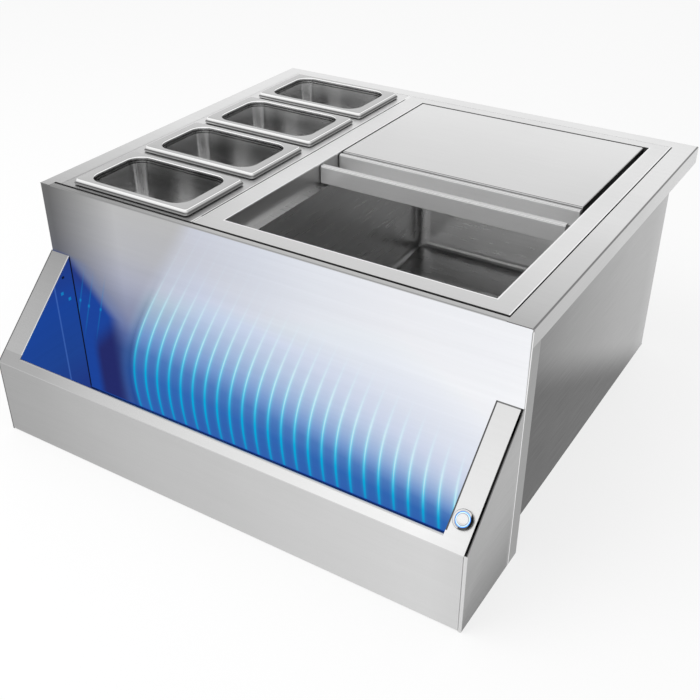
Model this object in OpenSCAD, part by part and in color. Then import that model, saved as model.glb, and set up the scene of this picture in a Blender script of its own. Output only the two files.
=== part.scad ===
// Drop-in bar sink: insulated ice bin with two lids, four garnish pans in the deck,
// and a lit bottle rail on the front apron.
// Axes: +X to the right, +Y to the back, +Z up. The base stands on z = 0.
// Inside the modules x runs from the left edge, y back from the apron's face, z up from the base.

/* [Overall] */
// Width across the deck
unit_w = 642; // [630:1:700]
// Depth of the deck behind the apron's face
deck_d = 534; // [510:1:590]
// Height from the base to the deck
unit_h = 299; // [285:1:340]
// How far the body's walls stand in from the deck's edge
body_inset = 21; // [17:1:25]

/* [Sheet metal] */
// Thickness of the deck, apron, bin frame and rail sheet
sheet_t = 1.2; // [1:0.1:1.5]
// Outside radius of a bend in that sheet
bend_r = 2.2; // [2:0.1:3]
// Thickness of the side and rear panels
panel_t = 1; // [0.8:0.1:1.2]
// Width of the folded flanges of the panels
panel_flange = 13; // [11:1:18]
// Gap at a close seam between two sheets
seam_gap = 0.4; // [0.3:0.05:0.6]
// Clearance under and around pieces that lift or slide
seat_gap = 0.3; // [0.2:0.05:0.5]

/* [Deck] */
// Height of the deck's downturned flange
flange_h = 22.7; // [19:0.1:28]
// Width of the hem under the flange that bears on the countertop
hem_w = 12; // [8:1:15]
// Width of the deck's left rim
rim_left = 25.3; // [22:0.1:30]
// Width of the deck's right rim
rim_right = 27.8; // [23:0.1:32]
// Depth of the deck's rear rim
rim_rear = 22.7; // [19:0.1:28]
// Depth of the apron's folded top strip
front_strip = 8.8; // [7:0.1:10]
// Open slot behind the front strip
front_slot = 2.1; // [1.4:0.1:3]
// Length of the deck's corner in front of the left rim
corner_left = 16; // [11:1:20]
// Open seam beside the bin frame
side_slot = 1.7; // [1:0.1:2.5]
// Drop of the ledges that carry the two inserts
ledge_drop = 13; // [11:0.5:15]
// Width of those ledges
ledge_w = 12; // [10:0.5:13]
// Depth of the apron's side and bottom returns
return_d = 21.4; // [17:0.1:25]

/* [Ice bin] */
// Bin frame's border on the left
bin_border_left = 27.4; // [25:0.1:30]
// Bin frame's border on the right
bin_border_right = 23.6; // [22:0.1:28]
// Bin frame's border at the front
bin_border_front = 22.7; // [20:0.1:28]
// Bin frame's border at the back
bin_border_rear = 16.6; // [16:0.1:22]
// Drop from the deck to the track ledge inside the bin
track_drop = 27.8; // [27:0.1:32]
// Width of the track ledge
track_w = 10.5; // [9.5:0.1:13]
// Thickness of the basin's sheet
liner_t = 1; // [0.8:0.1:1.2]
// Height of the basin's floor above the base, at the drain
basin_floor_z = 75; // [70:1:85]
// Fall of the floor from its edges to the drain
floor_fall = 5; // [3:0.5:8]
// Radius of the basin's upright corners
basin_corner_r = 20; // [14:1:28]
// Radius between the basin's walls and its floor
basin_cove_r = 12; // [8:1:16]
// Distance of the drain from the basin's back wall
drain_back = 110; // [80:5:170]
// Thickness of the foam boards
foam_t = 20; // [15:1:20]

/* [Lids] */
// Gap between the lids and the bin's left wall
lid_gap_left = 1.3; // [0.8:0.1:2.5]
// Gap between the lids and the bin's right wall
lid_gap_right = 6.7; // [4:0.1:7]
// Gap between the rear lid and the bin's back wall
lid_gap_rear = 2; // [1:0.1:3]
// Depth of the rear lid with its nosing
rear_lid_d = 223; // [210:1:235]
// Gap between the front lid's tray and the rear lid's nosing above it
nosing_gap = 0.6; // [0.4:0.1:2]
// Depth of the strip on top of that nosing
nosing_strip = 7; // [6:0.1:9]
// Height of the rear lid's side skirts
lid_skirt_h = 10; // [8:0.5:12]
// Space for fingers between the two lids
finger_gap = 34.8; // [25:0.1:42]
// Height of the front lid's pull lip
lip_h = 23.6; // [20:0.1:23.8]
// Depth of the strip on top of the pull lip
lip_strip = 9; // [7:0.1:12]
// How far the top of the pull lip lies under the deck
lip_drop = 2.5; // [2:0.1:3]

/* [Garnish pans] */
// Length of a pan over its rim
pan_l = 176; // [170:0.5:180]
// Depth of a pan over its rim, front to back
pan_w = 108; // [104:0.5:112]
// Depth of the pan below its rim
pan_h = 100; // [65:1:110]
// Width of the flange at the left and right of the pan's mouth
pan_flange_x = 14.2; // [12:0.1:16]
// Width of the flange in front of and behind the mouth
pan_flange_y = 8.5; // [8:0.1:10]
// Height of the pan's rim above the deck
pan_rim_h = 7.6; // [6.5:0.1:9]
// How far the rim's side leans out from the fold to the bead
pan_flare = 2.6; // [2:0.1:3.2]
// Radius of the bead along the rim's lower edge
pan_bead_r = 2; // [1.5:0.1:2.4]
// Radius of the rim's outer corners
pan_corner_r = 8; // [6.5:0.5:12]
// Radius of the mouth's corners
pan_mouth_r = 21; // [16:0.5:26]
// How much each wall leans in towards the floor
pan_taper = 7; // [4:0.5:10]
// Thickness of the pan's sheet
pan_t = 0.8; // [0.6:0.1:1]
// Distance of the pans from the deck's left edge
pan_left = 40; // [38:0.1:44]
// Width of the garnish frame to the right of the pans
pan_right = 10.6; // [8:0.1:14]
// Distance of the first pan from the apron's face
pan_front = 15.6; // [14.5:0.1:18]
// Distance of the last pan from the deck's back edge
pan_rear = 39.3; // [36:0.1:43]

/* [Bottle rail] */
// How far the rail stands out in front of the apron
rail_d = 112; // [95:1:125]
// Height of the rail's upright front
rail_front_h = 102.4; // [90:0.1:118]
// Drop from the deck to the top of the slanted frame
bezel_drop = 90.6; // [80:0.1:105]
// Width of the slanted frame's two legs
bezel_leg = 30.3; // [29.5:0.1:36]
// Width of the slanted frame's lower strip
bezel_strip = 13.5; // [10:0.1:20]
// Open seam between the right leg and its end cap
leg_gap_right = 2.5; // [0.4:0.1:3]
// Depth of the inward lip on the lower strip
bezel_lip = 6.7; // [5:0.1:10]
// Depth of the rail's bottom return
rail_return = 21; // [13:1:30]
// Height of the folded edges of the rail's floor
floor_edge = 10; // [7:1:15]

/* [Lights] */
// Height of the row of lights above the base
led_z = 54.8; // [35:0.1:70]
// Distance from light to light
led_pitch = 21.06; // [18:0.01:30]
// Height of the aluminium channel
channel_h = 10; // [9.5:0.5:14]
// Depth of the aluminium channel
channel_d = 8; // [6.5:0.5:10]
// Distance of the switch from the lower corner of the frame, along the slant
switch_up = 32.7; // [27:0.1:50]
// Diameter of the switch's bezel ring
switch_bezel_d = 21; // [20.5:0.1:22]
// Diameter of the switch's barrel
switch_barrel_d = 18.6; // [17:0.1:18.8]
// Outside diameter of the light ring
switch_ring_d = 15.5; // [14.8:0.1:15.6]
// Diameter of the push cap
switch_cap_d = 12.6; // [11.5:0.1:12.8]
// Travel of the push cap
switch_travel = 2; // [1.5:0.1:3]

/* [Drain] */
// Outside radius of the drain's lip
drain_lip_r = 30; // [28:0.5:31]
// Outside radius of the drain's threaded body
drain_body_r = 16.6; // [15:0.1:18]
// Bore radius of the drain's body
drain_bore_r = 13; // [11:0.1:13.5]
// Outside radius of the tail pipe
tail_r = 12.7; // [11.5:0.1:12.9]
// Wall thickness of the tail pipe
tail_t = 1.5; // [1.2:0.1:2]
// Height of the tail pipe's end above the base
tail_end_z = 6; // [3:0.5:12]

/* [Hidden] */
$fn = 48;
bend_steps = 5;
cut = 1;

// Frames of the deck
deck_top = unit_h;
deck_under = unit_h - sheet_t;
flange_z = unit_h - flange_h;
opening_y = front_strip + front_slot;
opening_x1 = unit_w - rim_right;
opening_y1 = deck_d - rim_rear;
ledge_top = unit_h - ledge_drop;
ledge_under = ledge_top - sheet_t;
apron_ledge_y = front_strip + ledge_w + front_slot;
side_ledge_y = apron_ledge_y + seat_gap;
return_gap = 0.6;
hem_y = return_d + return_gap;
return_top = flange_z + seat_gap;

// Body panels
body_x = body_inset;
body_x1 = unit_w - body_inset;
body_y1 = deck_d - body_inset - panel_t;
rear_panel_y = body_y1 - 2 * panel_t;
base_t = sheet_t;

// Inserts in the deck
insert_y1 = opening_y1 - seat_gap;
bin_x1 = opening_x1 - side_slot;
seam_x = pan_left + pan_l + pan_right;
bin_x = seam_x + side_slot;
seam_end = 17;
garnish_x = rim_left + seam_gap;
support_w = 34;
support_h = 13;
support_tab = 17;

// Mouth of the bin, and the basin below its track ledge
mouth_x = bin_x + bin_border_left;
mouth_x1 = bin_x1 - bin_border_right;
mouth_y = opening_y + bin_border_front;
mouth_y1 = insert_y1 - bin_border_rear;
track_z = unit_h - track_drop;
rim_lap = 3;
basin_x = mouth_x + track_w;
basin_x1 = mouth_x1 - track_w;
basin_y = mouth_y + track_w;
basin_y1 = mouth_y1 - track_w;
basin_w = basin_x1 - basin_x;
basin_d = basin_y1 - basin_y;
drain_x = (basin_x + basin_x1) / 2;
drain_y = basin_y1 - drain_back;
drain_flat = drain_lip_r + 2;
drain_hole_r = drain_body_r + 0.4;
floor_under = basin_floor_z - liner_t;
foam_top = track_z - liner_t - seat_gap;
foam_floor_z = floor_under - foam_t;

// Lids
lid_x = mouth_x + lid_gap_left;
lid_x1 = mouth_x1 - lid_gap_right;
lid_w = lid_x1 - lid_x;
rear_lid_y1 = mouth_y1 - lid_gap_rear;
nosing_y = rear_lid_y1 - rear_lid_d;
nosing_top = unit_h - 2;
nosing_fold = 4;
nosing_groove = 1.2;
nosing_depth = 5.5;
cover_y = nosing_y + nosing_strip + nosing_groove;
cover_fold = 5;
cover_corner_r = 2;
nosing_back_y = cover_y + nosing_depth;
rail_top = unit_h - lid_skirt_h - seat_gap;
rest_lap = 3.5;
rest_h = 9;
lip_y1 = nosing_y - finger_gap;
lip_y = lip_y1 - lip_strip;
lip_top = unit_h - lip_drop;
tray_z = lip_top - lip_h;
tray_y1 = rear_lid_y1 - 2;
lip_hem = 9.3;
glide_w = 3;
glide_l = 25;
glide_edge = 0.5;
glide_inset = 17;

// Pans
pan_count = 4;
pan_seat_z = unit_h + seat_gap;
pan_pitch = (deck_d - pan_rear - pan_w - pan_front) / (pan_count - 1);
pan_mouth_l = pan_l - 2 * pan_flange_x;
pan_mouth_w = pan_w - 2 * pan_flange_y;
pan_hole_gap = 1.5;
pan_soft_r = 7;
pan_fold_r = 1.5;

// Rail
bezel_top_z = unit_h - bezel_drop;
tilt = atan2(bezel_top_z - rail_front_h, rail_d);
upslope = [cos(tilt), sin(tilt)];
inward = [sin(tilt), -cos(tilt)];
lower_corner = [-rail_d, rail_front_h];
strip_edge = lower_corner + bezel_strip * upslope;
bezel_back_gap = 1.2;
bezel_end = [0, bezel_top_z] - bezel_back_gap * upslope;
rail_x = sheet_t + seam_gap;
rail_x1 = unit_w - sheet_t - leg_gap_right;
leg_x = bezel_leg;
leg_x1 = unit_w - bezel_leg;
rail_floor_z = sheet_t;
cheek_back = sheet_t + seam_gap;
cheek_flange = 8.5;
front_inside = -rail_d + sheet_t;
behind_bend = -rail_d + bend_r;
cap_flange = 10;
cap_flange_drop = 6;

// Lights and switch
led_margin = 1.7;
led_board_h = 6.5;
led_board_t = 0.8;
led_size = 4.2;
led_t = 1.6;
channel_t = 1.5;
strip_x = leg_x + 2 * led_margin;
strip_x1 = leg_x1 - 2 * led_margin;
led_count = floor((strip_x1 - strip_x - led_size) / led_pitch) + 1;
led_x = (leg_x + leg_x1 - (led_count - 1) * led_pitch) / 2;
switch_x = (leg_x1 + rail_x1) / 2;
switch_hole_r = switch_barrel_d / 2 + 0.2;
switch_seal_t = 0.8;
switch_flange_t = 2.2;
switch_top = switch_seal_t + switch_flange_t;
switch_barrel_l = 24;
switch_nut_t = 4;
switch_nut_r = 12;
cap_gap = 0.3;
cap_proud = 0.6;
cap_h = 4;

// Drain
lip_t = 2;
drain_body_l = 30;
gasket_t = 2;
nut_t = 7;
nut_r = 27;
thread_gap = 0.1;
collar_l = 14;
collar_t = 3.4;
strainer_r = 24;
strainer_t = 1.2;
strainer_skirt = 6;
recess_z = lip_t - strainer_t - seat_gap;
strainer_hole_r = 2;
strainer_holes = 6;
strainer_ring_r = 6.5;
base_hole_r = 36;

// Power inlet
inlet_x = body_x + 70;
inlet_z = 60;
inlet_r = 6;
inlet_flange_r = 9;
inlet_bore_r = 2.75;
inlet_l = 12;
inlet_end_t = 3;
inlet_flange_t = 2;
inlet_nut_t = 3;

// Screws
screw_r = 2;
screw_head_r = 4;
screw_head_h = 2;
screw_l = 8;
screw_hole_r = 2.2;
screw_rows = 3;
screw_margin = 60;

steel = "gainsboro";
dull_steel = "silver";
bright_steel = "whitesmoke";
foam = "lightyellow";

// ---- Helpers ----

// Moves the modules' corner-based frame to the part's own frame
module seated() {
    translate([-unit_w / 2, (rail_d - deck_d) / 2, 0]) children();
}

// Extrudes a (y, z) section along +X
module along_x(length) {
    rotate([90, 0, 90]) linear_extrude(length) children();
}

// Extrudes an (x, z) section along +Y
module along_y(length) {
    translate([0, length, 0]) rotate([90, 0, 0]) linear_extrude(length) children();
}

// Box from its lowest to its highest corner
module block(low, high) {
    translate(low) cube(high - low);
}

// Rectangle whose chosen corners are round: bottom left, bottom right, top right, top left
module rounded_rect(size, r, rounds = [true, true, true, true]) {
    centres = [[r, r], [size.x - r, r], [size.x - r, size.y - r], [r, size.y - r]];
    corners = [[0, 0], [size.x - r, 0], [size.x - r, size.y - r], [0, size.y - r]];
    translate([r, 0]) square([size.x - 2 * r, size.y]);
    translate([0, r]) square([size.x, size.y - 2 * r]);
    for (i = [0 : 3]) {
        if (rounds[i]) {
            translate(centres[i]) circle(r);
        } else {
            translate(corners[i]) square(r);
        }
    }
}

function unit_of(v) = v / norm(v);
function left_of(v) = [-v.y, v.x];
function turned(v, angle) = [v.x * cos(angle) - v.y * sin(angle), v.x * sin(angle) + v.y * cos(angle)];
function reversed(list) = [for (i = [len(list) - 1 : -1 : 0]) list[i]];

// Points of a bend of radius r at b, on the way from a to c
function bend_points(a, b, c, r) =
    let (
        to_a = unit_of(a - b),
        to_c = unit_of(c - b),
        half = acos(to_a * to_c) / 2,
        centre = b + unit_of(to_a + to_c) * r / sin(half),
        start = b + to_a * r / tan(half) - centre,
        sweep = -sign(cross(to_a, to_c)) * (180 - 2 * half)
    )
    [for (k = [0 : bend_steps]) centre + turned(start, sweep * k / bend_steps)];

// Side of the turn at point i: +1 where the path turns left
function turn_side(path, i) = sign(cross(path[i] - path[i - 1], path[i + 1] - path[i]));

// Path moved to its left by t, with its corners mitred
function shifted(path, t) = [
    for (i = [0 : len(path) - 1])
        let (
            before = i > 0 ? left_of(unit_of(path[i] - path[i - 1])) : left_of(unit_of(path[1] - path[0])),
            after = i < len(path) - 1 ? left_of(unit_of(path[i + 1] - path[i])) : before
        )
        path[i] + t * (before + after) / (1 + before * after)
];

// Path with each inner corner bent; the radius depends on the side of the turn
function bent(path, r_left, r_right) = [
    for (i = [0 : len(path) - 1])
        each (i == 0 || i == len(path) - 1 ? [path[i]]
            : bend_points(path[i - 1], path[i], path[i + 1], turn_side(path, i) > 0 ? r_left : r_right))
];

// Section of a folded sheet: the metal lies to the left of the path
module folded_section(path, t = sheet_t, r = bend_r) {
    outer = bent(path, r, r - t);
    inner = bent(shifted(path, t), r - t, r);
    polygon(concat(outer, reversed(inner)));
}

// ---- Deck and cabinet ----

// The deck's outside, moved in by t and open below for t > 0
module deck_envelope(t) {
    below = t > 0 ? cut : 0;
    z = flange_z - below;
    h = flange_h + below - t;
    intersection() {
        translate([t, -cut, z]) along_y(deck_d + 2 * cut)
            rounded_rect([unit_w - 2 * t, h], bend_r - t, [false, false, true, true]);
        translate([0, -t, z]) along_x(unit_w)
            rounded_rect([deck_d, h], bend_r - t, [false, false, true, false]);
    }
}

module deck_ledges() {
    difference() {
        block([rim_left - sheet_t, side_ledge_y, ledge_under],
              [opening_x1 + sheet_t, opening_y1 + sheet_t, deck_under]);
        block([rim_left, side_ledge_y - cut, ledge_top], [opening_x1, opening_y1, deck_top]);
        block([rim_left + ledge_w, side_ledge_y - cut, ledge_under - cut],
              [opening_x1 - ledge_w, opening_y1 - ledge_w, deck_top]);
    }
}

module deck_frame() color(steel) seated() {
    difference() {
        deck_envelope(0);
        deck_envelope(sheet_t);
        block([-cut, -cut, 0], [unit_w + cut, bend_r, deck_under]);
        block([-cut, -cut, 0], [unit_w + cut, hem_y, return_top]);
        block([rim_left, opening_y, flange_z], [opening_x1, opening_y1, deck_top + cut]);
        block([corner_left, -cut, flange_z], [opening_x1, opening_y, deck_top + cut]);
    }
    deck_ledges();
    difference() {
        block([sheet_t / 2, hem_y, flange_z], [unit_w - sheet_t / 2, deck_d - sheet_t / 2, flange_z + sheet_t]);
        block([hem_w, hem_y - cut, 0], [unit_w - hem_w, deck_d - hem_w, deck_top]);
    }
}

module front_apron() color(steel) seated() {
    difference() {
        linear_extrude(deck_under) {
            difference() {
                rounded_rect([unit_w, return_d], bend_r, [true, true, false, false]);
                translate([sheet_t, sheet_t])
                    rounded_rect([unit_w - 2 * sheet_t, return_d], bend_r - sheet_t, [true, true, false, false]);
            }
        }
        block([-cut, bend_r, return_top], [unit_w + cut, return_d + cut, deck_top]);
        block([corner_left, -cut, deck_top - bend_r], [opening_x1, bend_r, deck_top]);
    }
    block([sheet_t / 2, sheet_t / 2, 0], [unit_w - sheet_t / 2, return_d, sheet_t]);
    translate([corner_left, 0, 0]) along_x(opening_x1 - corner_left) {
        folded_section([
            [apron_ledge_y, ledge_top],
            [front_strip, ledge_top],
            [front_strip, deck_top],
            [0, deck_top],
            [0, ledge_under]
        ]);
    }
}

// Side wall with a flange at the front and one at the back
module side_panel() {
    intersection() {
        translate([0, 0, base_t]) linear_extrude(deck_under - base_t) {
            folded_section([
                [panel_flange, body_y1],
                [0, body_y1],
                [0, sheet_t],
                [panel_flange, sheet_t]
            ], panel_t, bend_r);
        }
        union() {
            block([-cut, -cut, 0], [panel_flange + cut, deck_d, ledge_under]);
            block([-cut, side_ledge_y, 0], [panel_t, deck_d, deck_top]);
        }
    }
}

module screw_places(x) {
    for (i = [0 : screw_rows - 1]) {
        translate([x, body_y1, base_t + screw_margin + i * (ledge_under - 2 * screw_margin) / (screw_rows - 1)])
            rotate([90, 0, 0]) children();
    }
}

module side_panel_left() color(dull_steel) seated() {
    difference() {
        translate([body_x, 0, 0]) side_panel();
        screw_places(body_x + panel_flange / 2) cylinder(h = screw_l, r = screw_hole_r, center = true);
    }
}

module side_panel_right() color(dull_steel) seated() {
    difference() {
        translate([body_x1, 0, 0]) mirror([1, 0, 0]) side_panel();
        screw_places(body_x1 - panel_flange / 2) cylinder(h = screw_l, r = screw_hole_r, center = true);
    }
}

module rear_panel() color(dull_steel) seated() {
    difference() {
        block([body_x + bend_r, rear_panel_y, base_t], [body_x1 - bend_r, rear_panel_y + panel_t, ledge_under]);
        for (x = [body_x + panel_flange / 2, body_x1 - panel_flange / 2]) {
            screw_places(x) cylinder(h = screw_l, r = screw_hole_r, center = true);
        }
        translate([inlet_x, rear_panel_y, inlet_z]) rotate([90, 0, 0])
            cylinder(h = 4 * panel_t, r = inlet_r + 0.2, center = true);
    }
}

module bottom_panel() color(dull_steel) seated() {
    difference() {
        union() {
            block([body_x, return_d, 0], [body_x1, body_y1, base_t]);
            for (x = [body_x + panel_t, body_x1 - 2 * panel_t]) {
                block([x, return_d + 2, base_t / 2], [x + panel_t, rear_panel_y - 2, base_t + panel_flange]);
            }
        }
        translate([drain_x, drain_y, -cut]) cylinder(h = base_t + 2 * cut, r = base_hole_r);
    }
}

module panel_screws() color(bright_steel) seated() {
    for (x = [body_x + panel_flange / 2, body_x1 - panel_flange / 2]) {
        screw_places(x) {
            translate([0, 0, -screw_head_h]) {
                cylinder(h = screw_head_h, r = screw_head_r);
                cylinder(h = screw_head_h + screw_l, r = screw_r);
            }
        }
    }
}

// ---- Inserts in the deck ----

// Top plate with a skirt that stands on the ledges
module insert_tray(x, x1) {
    difference() {
        block([x, opening_y, ledge_top], [x1, insert_y1, deck_top]);
        block([x + sheet_t, opening_y + sheet_t, ledge_top - cut], [x1 - sheet_t, insert_y1 - sheet_t, deck_under]);
    }
}

module centre_support() color(dull_steel) seated() {
    middle = (seam_x + bin_x) / 2;
    translate([middle - support_w / 2, side_ledge_y, 0]) {
        along_y(opening_y1 - ledge_w - seat_gap - side_ledge_y) {
            folded_section([
                [support_w, ledge_top - support_h],
                [support_w, ledge_top],
                [0, ledge_top],
                [0, ledge_top - support_h]
            ]);
        }
    }
    for (y = [side_ledge_y, opening_y1 - ledge_w - seat_gap]) {
        block([middle - support_w / 2 + bend_r, y - support_tab / 2, ledge_under - sheet_t],
              [middle + support_w / 2 - bend_r, y + support_tab / 2, ledge_under]);
    }
}

// The mouth of pan number i, moved outwards by grow
module pan_outline(i, length, width, r) {
    translate([pan_left + (pan_l - length) / 2, pan_front + i * pan_pitch + (pan_w - width) / 2])
        rounded_rect([length, width], r);
}

module garnish_frame() color(steel) seated() {
    difference() {
        union() {
            insert_tray(garnish_x, bin_x);
            block([seam_x - sheet_t, opening_y + sheet_t, ledge_top], [seam_x, insert_y1 - sheet_t, deck_top]);
        }
        block([seam_x, opening_y + seam_end, ledge_top - cut], [bin_x + cut, insert_y1 - seam_end, deck_top + cut]);
        translate([0, 0, ledge_top]) linear_extrude(ledge_drop + cut) {
            for (i = [0 : pan_count - 1]) {
                pan_outline(i, pan_mouth_l + 2 * pan_hole_gap, pan_mouth_w + 2 * pan_hole_gap,
                            pan_mouth_r + pan_hole_gap);
            }
        }
    }
}

module bin_frame() color(steel) seated() {
    difference() {
        union() {
            insert_tray(bin_x, bin_x1);
            block([mouth_x - sheet_t, mouth_y - sheet_t, track_z], [mouth_x1 + sheet_t, mouth_y1 + sheet_t, deck_top]);
        }
        block([mouth_x, mouth_y, track_z - cut], [mouth_x1, mouth_y1, deck_top + cut]);
    }
}

// ---- Ice bin ----

// Outline of the basin's space in (y, z), moved out by t: its floor falls to a flat at the drain
module basin_long_section(t) {
    r = basin_cove_r + t;
    y = basin_y - t;
    y1 = basin_y1 + t;
    edge_z = basin_floor_z + floor_fall - t;
    low_z = basin_floor_z - t;
    polygon(concat(
        bend_points([y, track_z], [y, edge_z], [drain_y - drain_flat, low_z], r),
        [[drain_y - drain_flat, low_z], [drain_y + drain_flat, low_z]],
        bend_points([drain_y + drain_flat, low_z], [y1, edge_z], [y1, track_z], r),
        [[y1, track_z + (t > 0 ? 0 : cut)], [y, track_z + (t > 0 ? 0 : cut)]]
    ));
}

// The basin's space, moved out by t
module basin_form(t) {
    top = track_z + (t > 0 ? 0 : cut);
    low = basin_floor_z - t;
    intersection() {
        translate([basin_x - t, basin_y - t, low - cut]) linear_extrude(top - low + cut)
            rounded_rect([basin_w + 2 * t, basin_d + 2 * t], basin_corner_r + t);
        translate([basin_x - t - cut, 0, 0]) along_x(basin_w + 2 * (t + cut)) basin_long_section(t);
        translate([basin_x - t, basin_y - t - cut, low]) along_y(basin_d + 2 * (t + cut))
            rounded_rect([basin_w + 2 * t, top - low], basin_cove_r + t, [true, true, false, false]);
    }
}

module ice_bin_liner() color("darkgray") seated() {
    difference() {
        union() {
            basin_form(liner_t);
            block([mouth_x - rim_lap, mouth_y - rim_lap, track_z - liner_t],
                  [mouth_x1 + rim_lap, mouth_y1 + rim_lap, track_z]);
        }
        basin_form(0);
        translate([drain_x, drain_y, floor_under - cut]) cylinder(h = liner_t + 2 * cut, r = drain_hole_r);
    }
}

module foam_board(low, high) {
    color(foam) seated() block(low, high);
}

board_x = basin_x - liner_t - foam_t;
board_x1 = basin_x1 + liner_t + foam_t;
board_y = basin_y - liner_t - foam_t;
board_y1 = basin_y1 + liner_t + foam_t;

module insulation_left() {
    foam_board([board_x, basin_y - liner_t, floor_under], [basin_x - liner_t, basin_y1 + liner_t, foam_top]);
}

module insulation_right() {
    foam_board([basin_x1 + liner_t, basin_y - liner_t, floor_under], [board_x1, basin_y1 + liner_t, foam_top]);
}

module insulation_front() {
    foam_board([board_x, board_y, floor_under], [board_x1, basin_y - liner_t, foam_top]);
}

module insulation_rear() {
    foam_board([board_x, basin_y1 + liner_t, floor_under], [board_x1, board_y1, foam_top]);
}

module insulation_floor() color(foam) seated() {
    difference() {
        block([board_x, board_y, foam_floor_z], [board_x1, board_y1, floor_under]);
        translate([drain_x, drain_y, foam_floor_z - cut]) cylinder(h = foam_t + 2 * cut, r = drain_lip_r + 1);
    }
}

// ---- Lids ----

// Angle strips on the bin's side walls that carry the rear lid's skirts
module lid_rest_rails() color(dull_steel) seated() {
    rest_y = nosing_back_y + seat_gap;
    translate([0, rest_y, 0]) along_y(mouth_y1 - rest_y) {
        translate([mouth_x, rail_top]) rest_section(lid_gap_left + rest_lap);
        translate([mouth_x1, rail_top]) mirror([1, 0]) rest_section(mouth_x1 - lid_x1 + rest_lap);
    }
}

// Angle whose top flange is width wide
module rest_section(width) {
    folded_section([[width, 0], [0, 0], [0, -rest_h]], panel_t, panel_t + 1);
}

module rear_lid_cover() color(steel) seated() {
    depth = rear_lid_y1 - cover_y;
    difference() {
        intersection() {
            translate([lid_x, cover_y, unit_h - lid_skirt_h]) along_y(depth)
                rounded_rect([lid_w, lid_skirt_h], cover_corner_r, [false, false, true, true]);
            translate([lid_x, 0, unit_h - lid_skirt_h]) along_x(lid_w)
                translate([cover_y, 0]) rounded_rect([depth, lid_skirt_h], cover_corner_r, [false, false, true, true]);
        }
        block([lid_x + sheet_t, cover_y + sheet_t, 0], [lid_x1 - sheet_t, rear_lid_y1 - sheet_t, deck_under]);
        block([lid_x + sheet_t, cover_y - cut, 0], [lid_x1 - sheet_t, cover_y + sheet_t + cut, deck_top - cover_fold]);
    }
}

// Folded front edge, notched at both ends for the cover's skirts
module rear_lid_nosing() color(steel) seated() {
    foot = tray_z + sheet_t + nosing_gap;
    notch = sheet_t + seam_gap;
    difference() {
        translate([lid_x, 0, 0]) along_x(lid_w) {
            folded_section([
                [nosing_y + nosing_strip, nosing_top - nosing_fold],
                [nosing_y + nosing_strip, nosing_top],
                [nosing_y, nosing_top],
                [nosing_y, foot],
                [nosing_back_y, foot],
                [nosing_back_y, deck_under]
            ], panel_t, bend_r);
        }
        for (x = [lid_x - cut, lid_x1 - notch]) {
            block([x, cover_y, unit_h - lid_skirt_h - seam_gap], [x + notch + cut, nosing_back_y + cut, unit_h]);
        }
    }
}

module front_lid_tray() color(steel) seated() {
    translate([lid_x, 0, 0]) along_x(lid_w) {
        folded_section([
            [lip_y1, lip_top - lip_hem],
            [lip_y1, lip_top],
            [lip_y, lip_top],
            [lip_y, tray_z],
            [tray_y1, tray_z]
        ]);
    }
    for (x = [lid_x, lid_x1 - sheet_t]) {
        block([x, lip_y + sheet_t / 2, tray_z + sheet_t / 2],
              [x + sheet_t, lip_y1 - sheet_t, lip_top - sheet_t / 2]);
    }
}

module lid_glides() color("white") seated() {
    lane = [lid_x + glide_edge, lid_x1 - glide_edge - glide_w];
    for (x = lane, y = [lip_y + glide_inset, tray_y1 - glide_inset - glide_l]) {
        block([x, y, track_z + seat_gap], [x + glide_w, y + glide_l, tray_z]);
    }
}

// ---- Garnish pans ----

// Distance of the pan's wall from the centre of its corner at height z above the deck, moved out by t
function pan_wall(t, z) = pan_mouth_r + t - pan_taper * (pan_rim_h - z) / pan_h;

// Section of the pan's space from the centre of a corner outwards
function pan_section(t, top, floor_z) = concat(
    [[pan_wall(t, top), top]],
    bend_points([pan_wall(t, top), top], [pan_wall(t, floor_z), floor_z], [0, floor_z], pan_soft_r + t)
);

// Carries a section round a rectangle; it is drawn outwards from the centres of the corners
module carried_round(size, r) {
    span = size - 2 * [r, r];
    translate([r, r, 0]) {
        translate([span.x, 0, 0]) along_y(span.y) children();
        along_y(span.y) mirror([1, 0]) children();
        translate([0, span.y, 0]) along_x(span.x) children();
        along_x(span.x) mirror([1, 0]) children();
        for (corner = [[0, 0, 180], [span.x, 0, 270], [span.x, span.y, 0], [0, span.y, 90]]) {
            translate([corner.x, corner.y, 0]) rotate([0, 0, corner.z]) rotate_extrude(angle = 90) children();
        }
    }
}

// Drafted space with round corners and a soft edge round its floor, moved out by t
module pan_form(t, top, floor_z) {
    far = [pan_mouth_l, pan_mouth_w] - [pan_mouth_r, pan_mouth_r];
    carried_round([pan_mouth_l, pan_mouth_w], pan_mouth_r)
        polygon(concat([[0, top]], pan_section(t, top, floor_z), [[0, floor_z]]));
    block([pan_mouth_r, pan_mouth_r, floor_z], [far.x, far.y, top]);
}

// Flange, folded side and bead of the rim, from the centre of a corner outwards
module rim_section() {
    translate([pan_corner_r - pan_bead_r, pan_bead_r]) circle(pan_bead_r);
    folded_section([
        [pan_corner_r - pan_bead_r / 2, pan_bead_r],
        [pan_corner_r - pan_flare, pan_rim_h],
        [0, pan_rim_h]
    ], pan_t, pan_fold_r);
}

module pan(i) color(bright_steel) seated() {
    floor_z = pan_rim_h - pan_h;
    form_at = [pan_flange_x, pan_flange_y, 0];
    translate([pan_left, pan_front + i * pan_pitch, pan_seat_z]) {
        difference() {
            union() {
                carried_round([pan_l, pan_w], pan_corner_r) rim_section();
                block([pan_corner_r, pan_corner_r, pan_rim_h - pan_t],
                      [pan_l - pan_corner_r, pan_w - pan_corner_r, pan_rim_h]);
                translate(form_at) pan_form(pan_t, pan_rim_h - pan_t, floor_z);
            }
            translate(form_at) pan_form(0, pan_rim_h + cut, floor_z + pan_t);
        }
    }
}

module garnish_pan_1() {
    pan(0);
}

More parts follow.
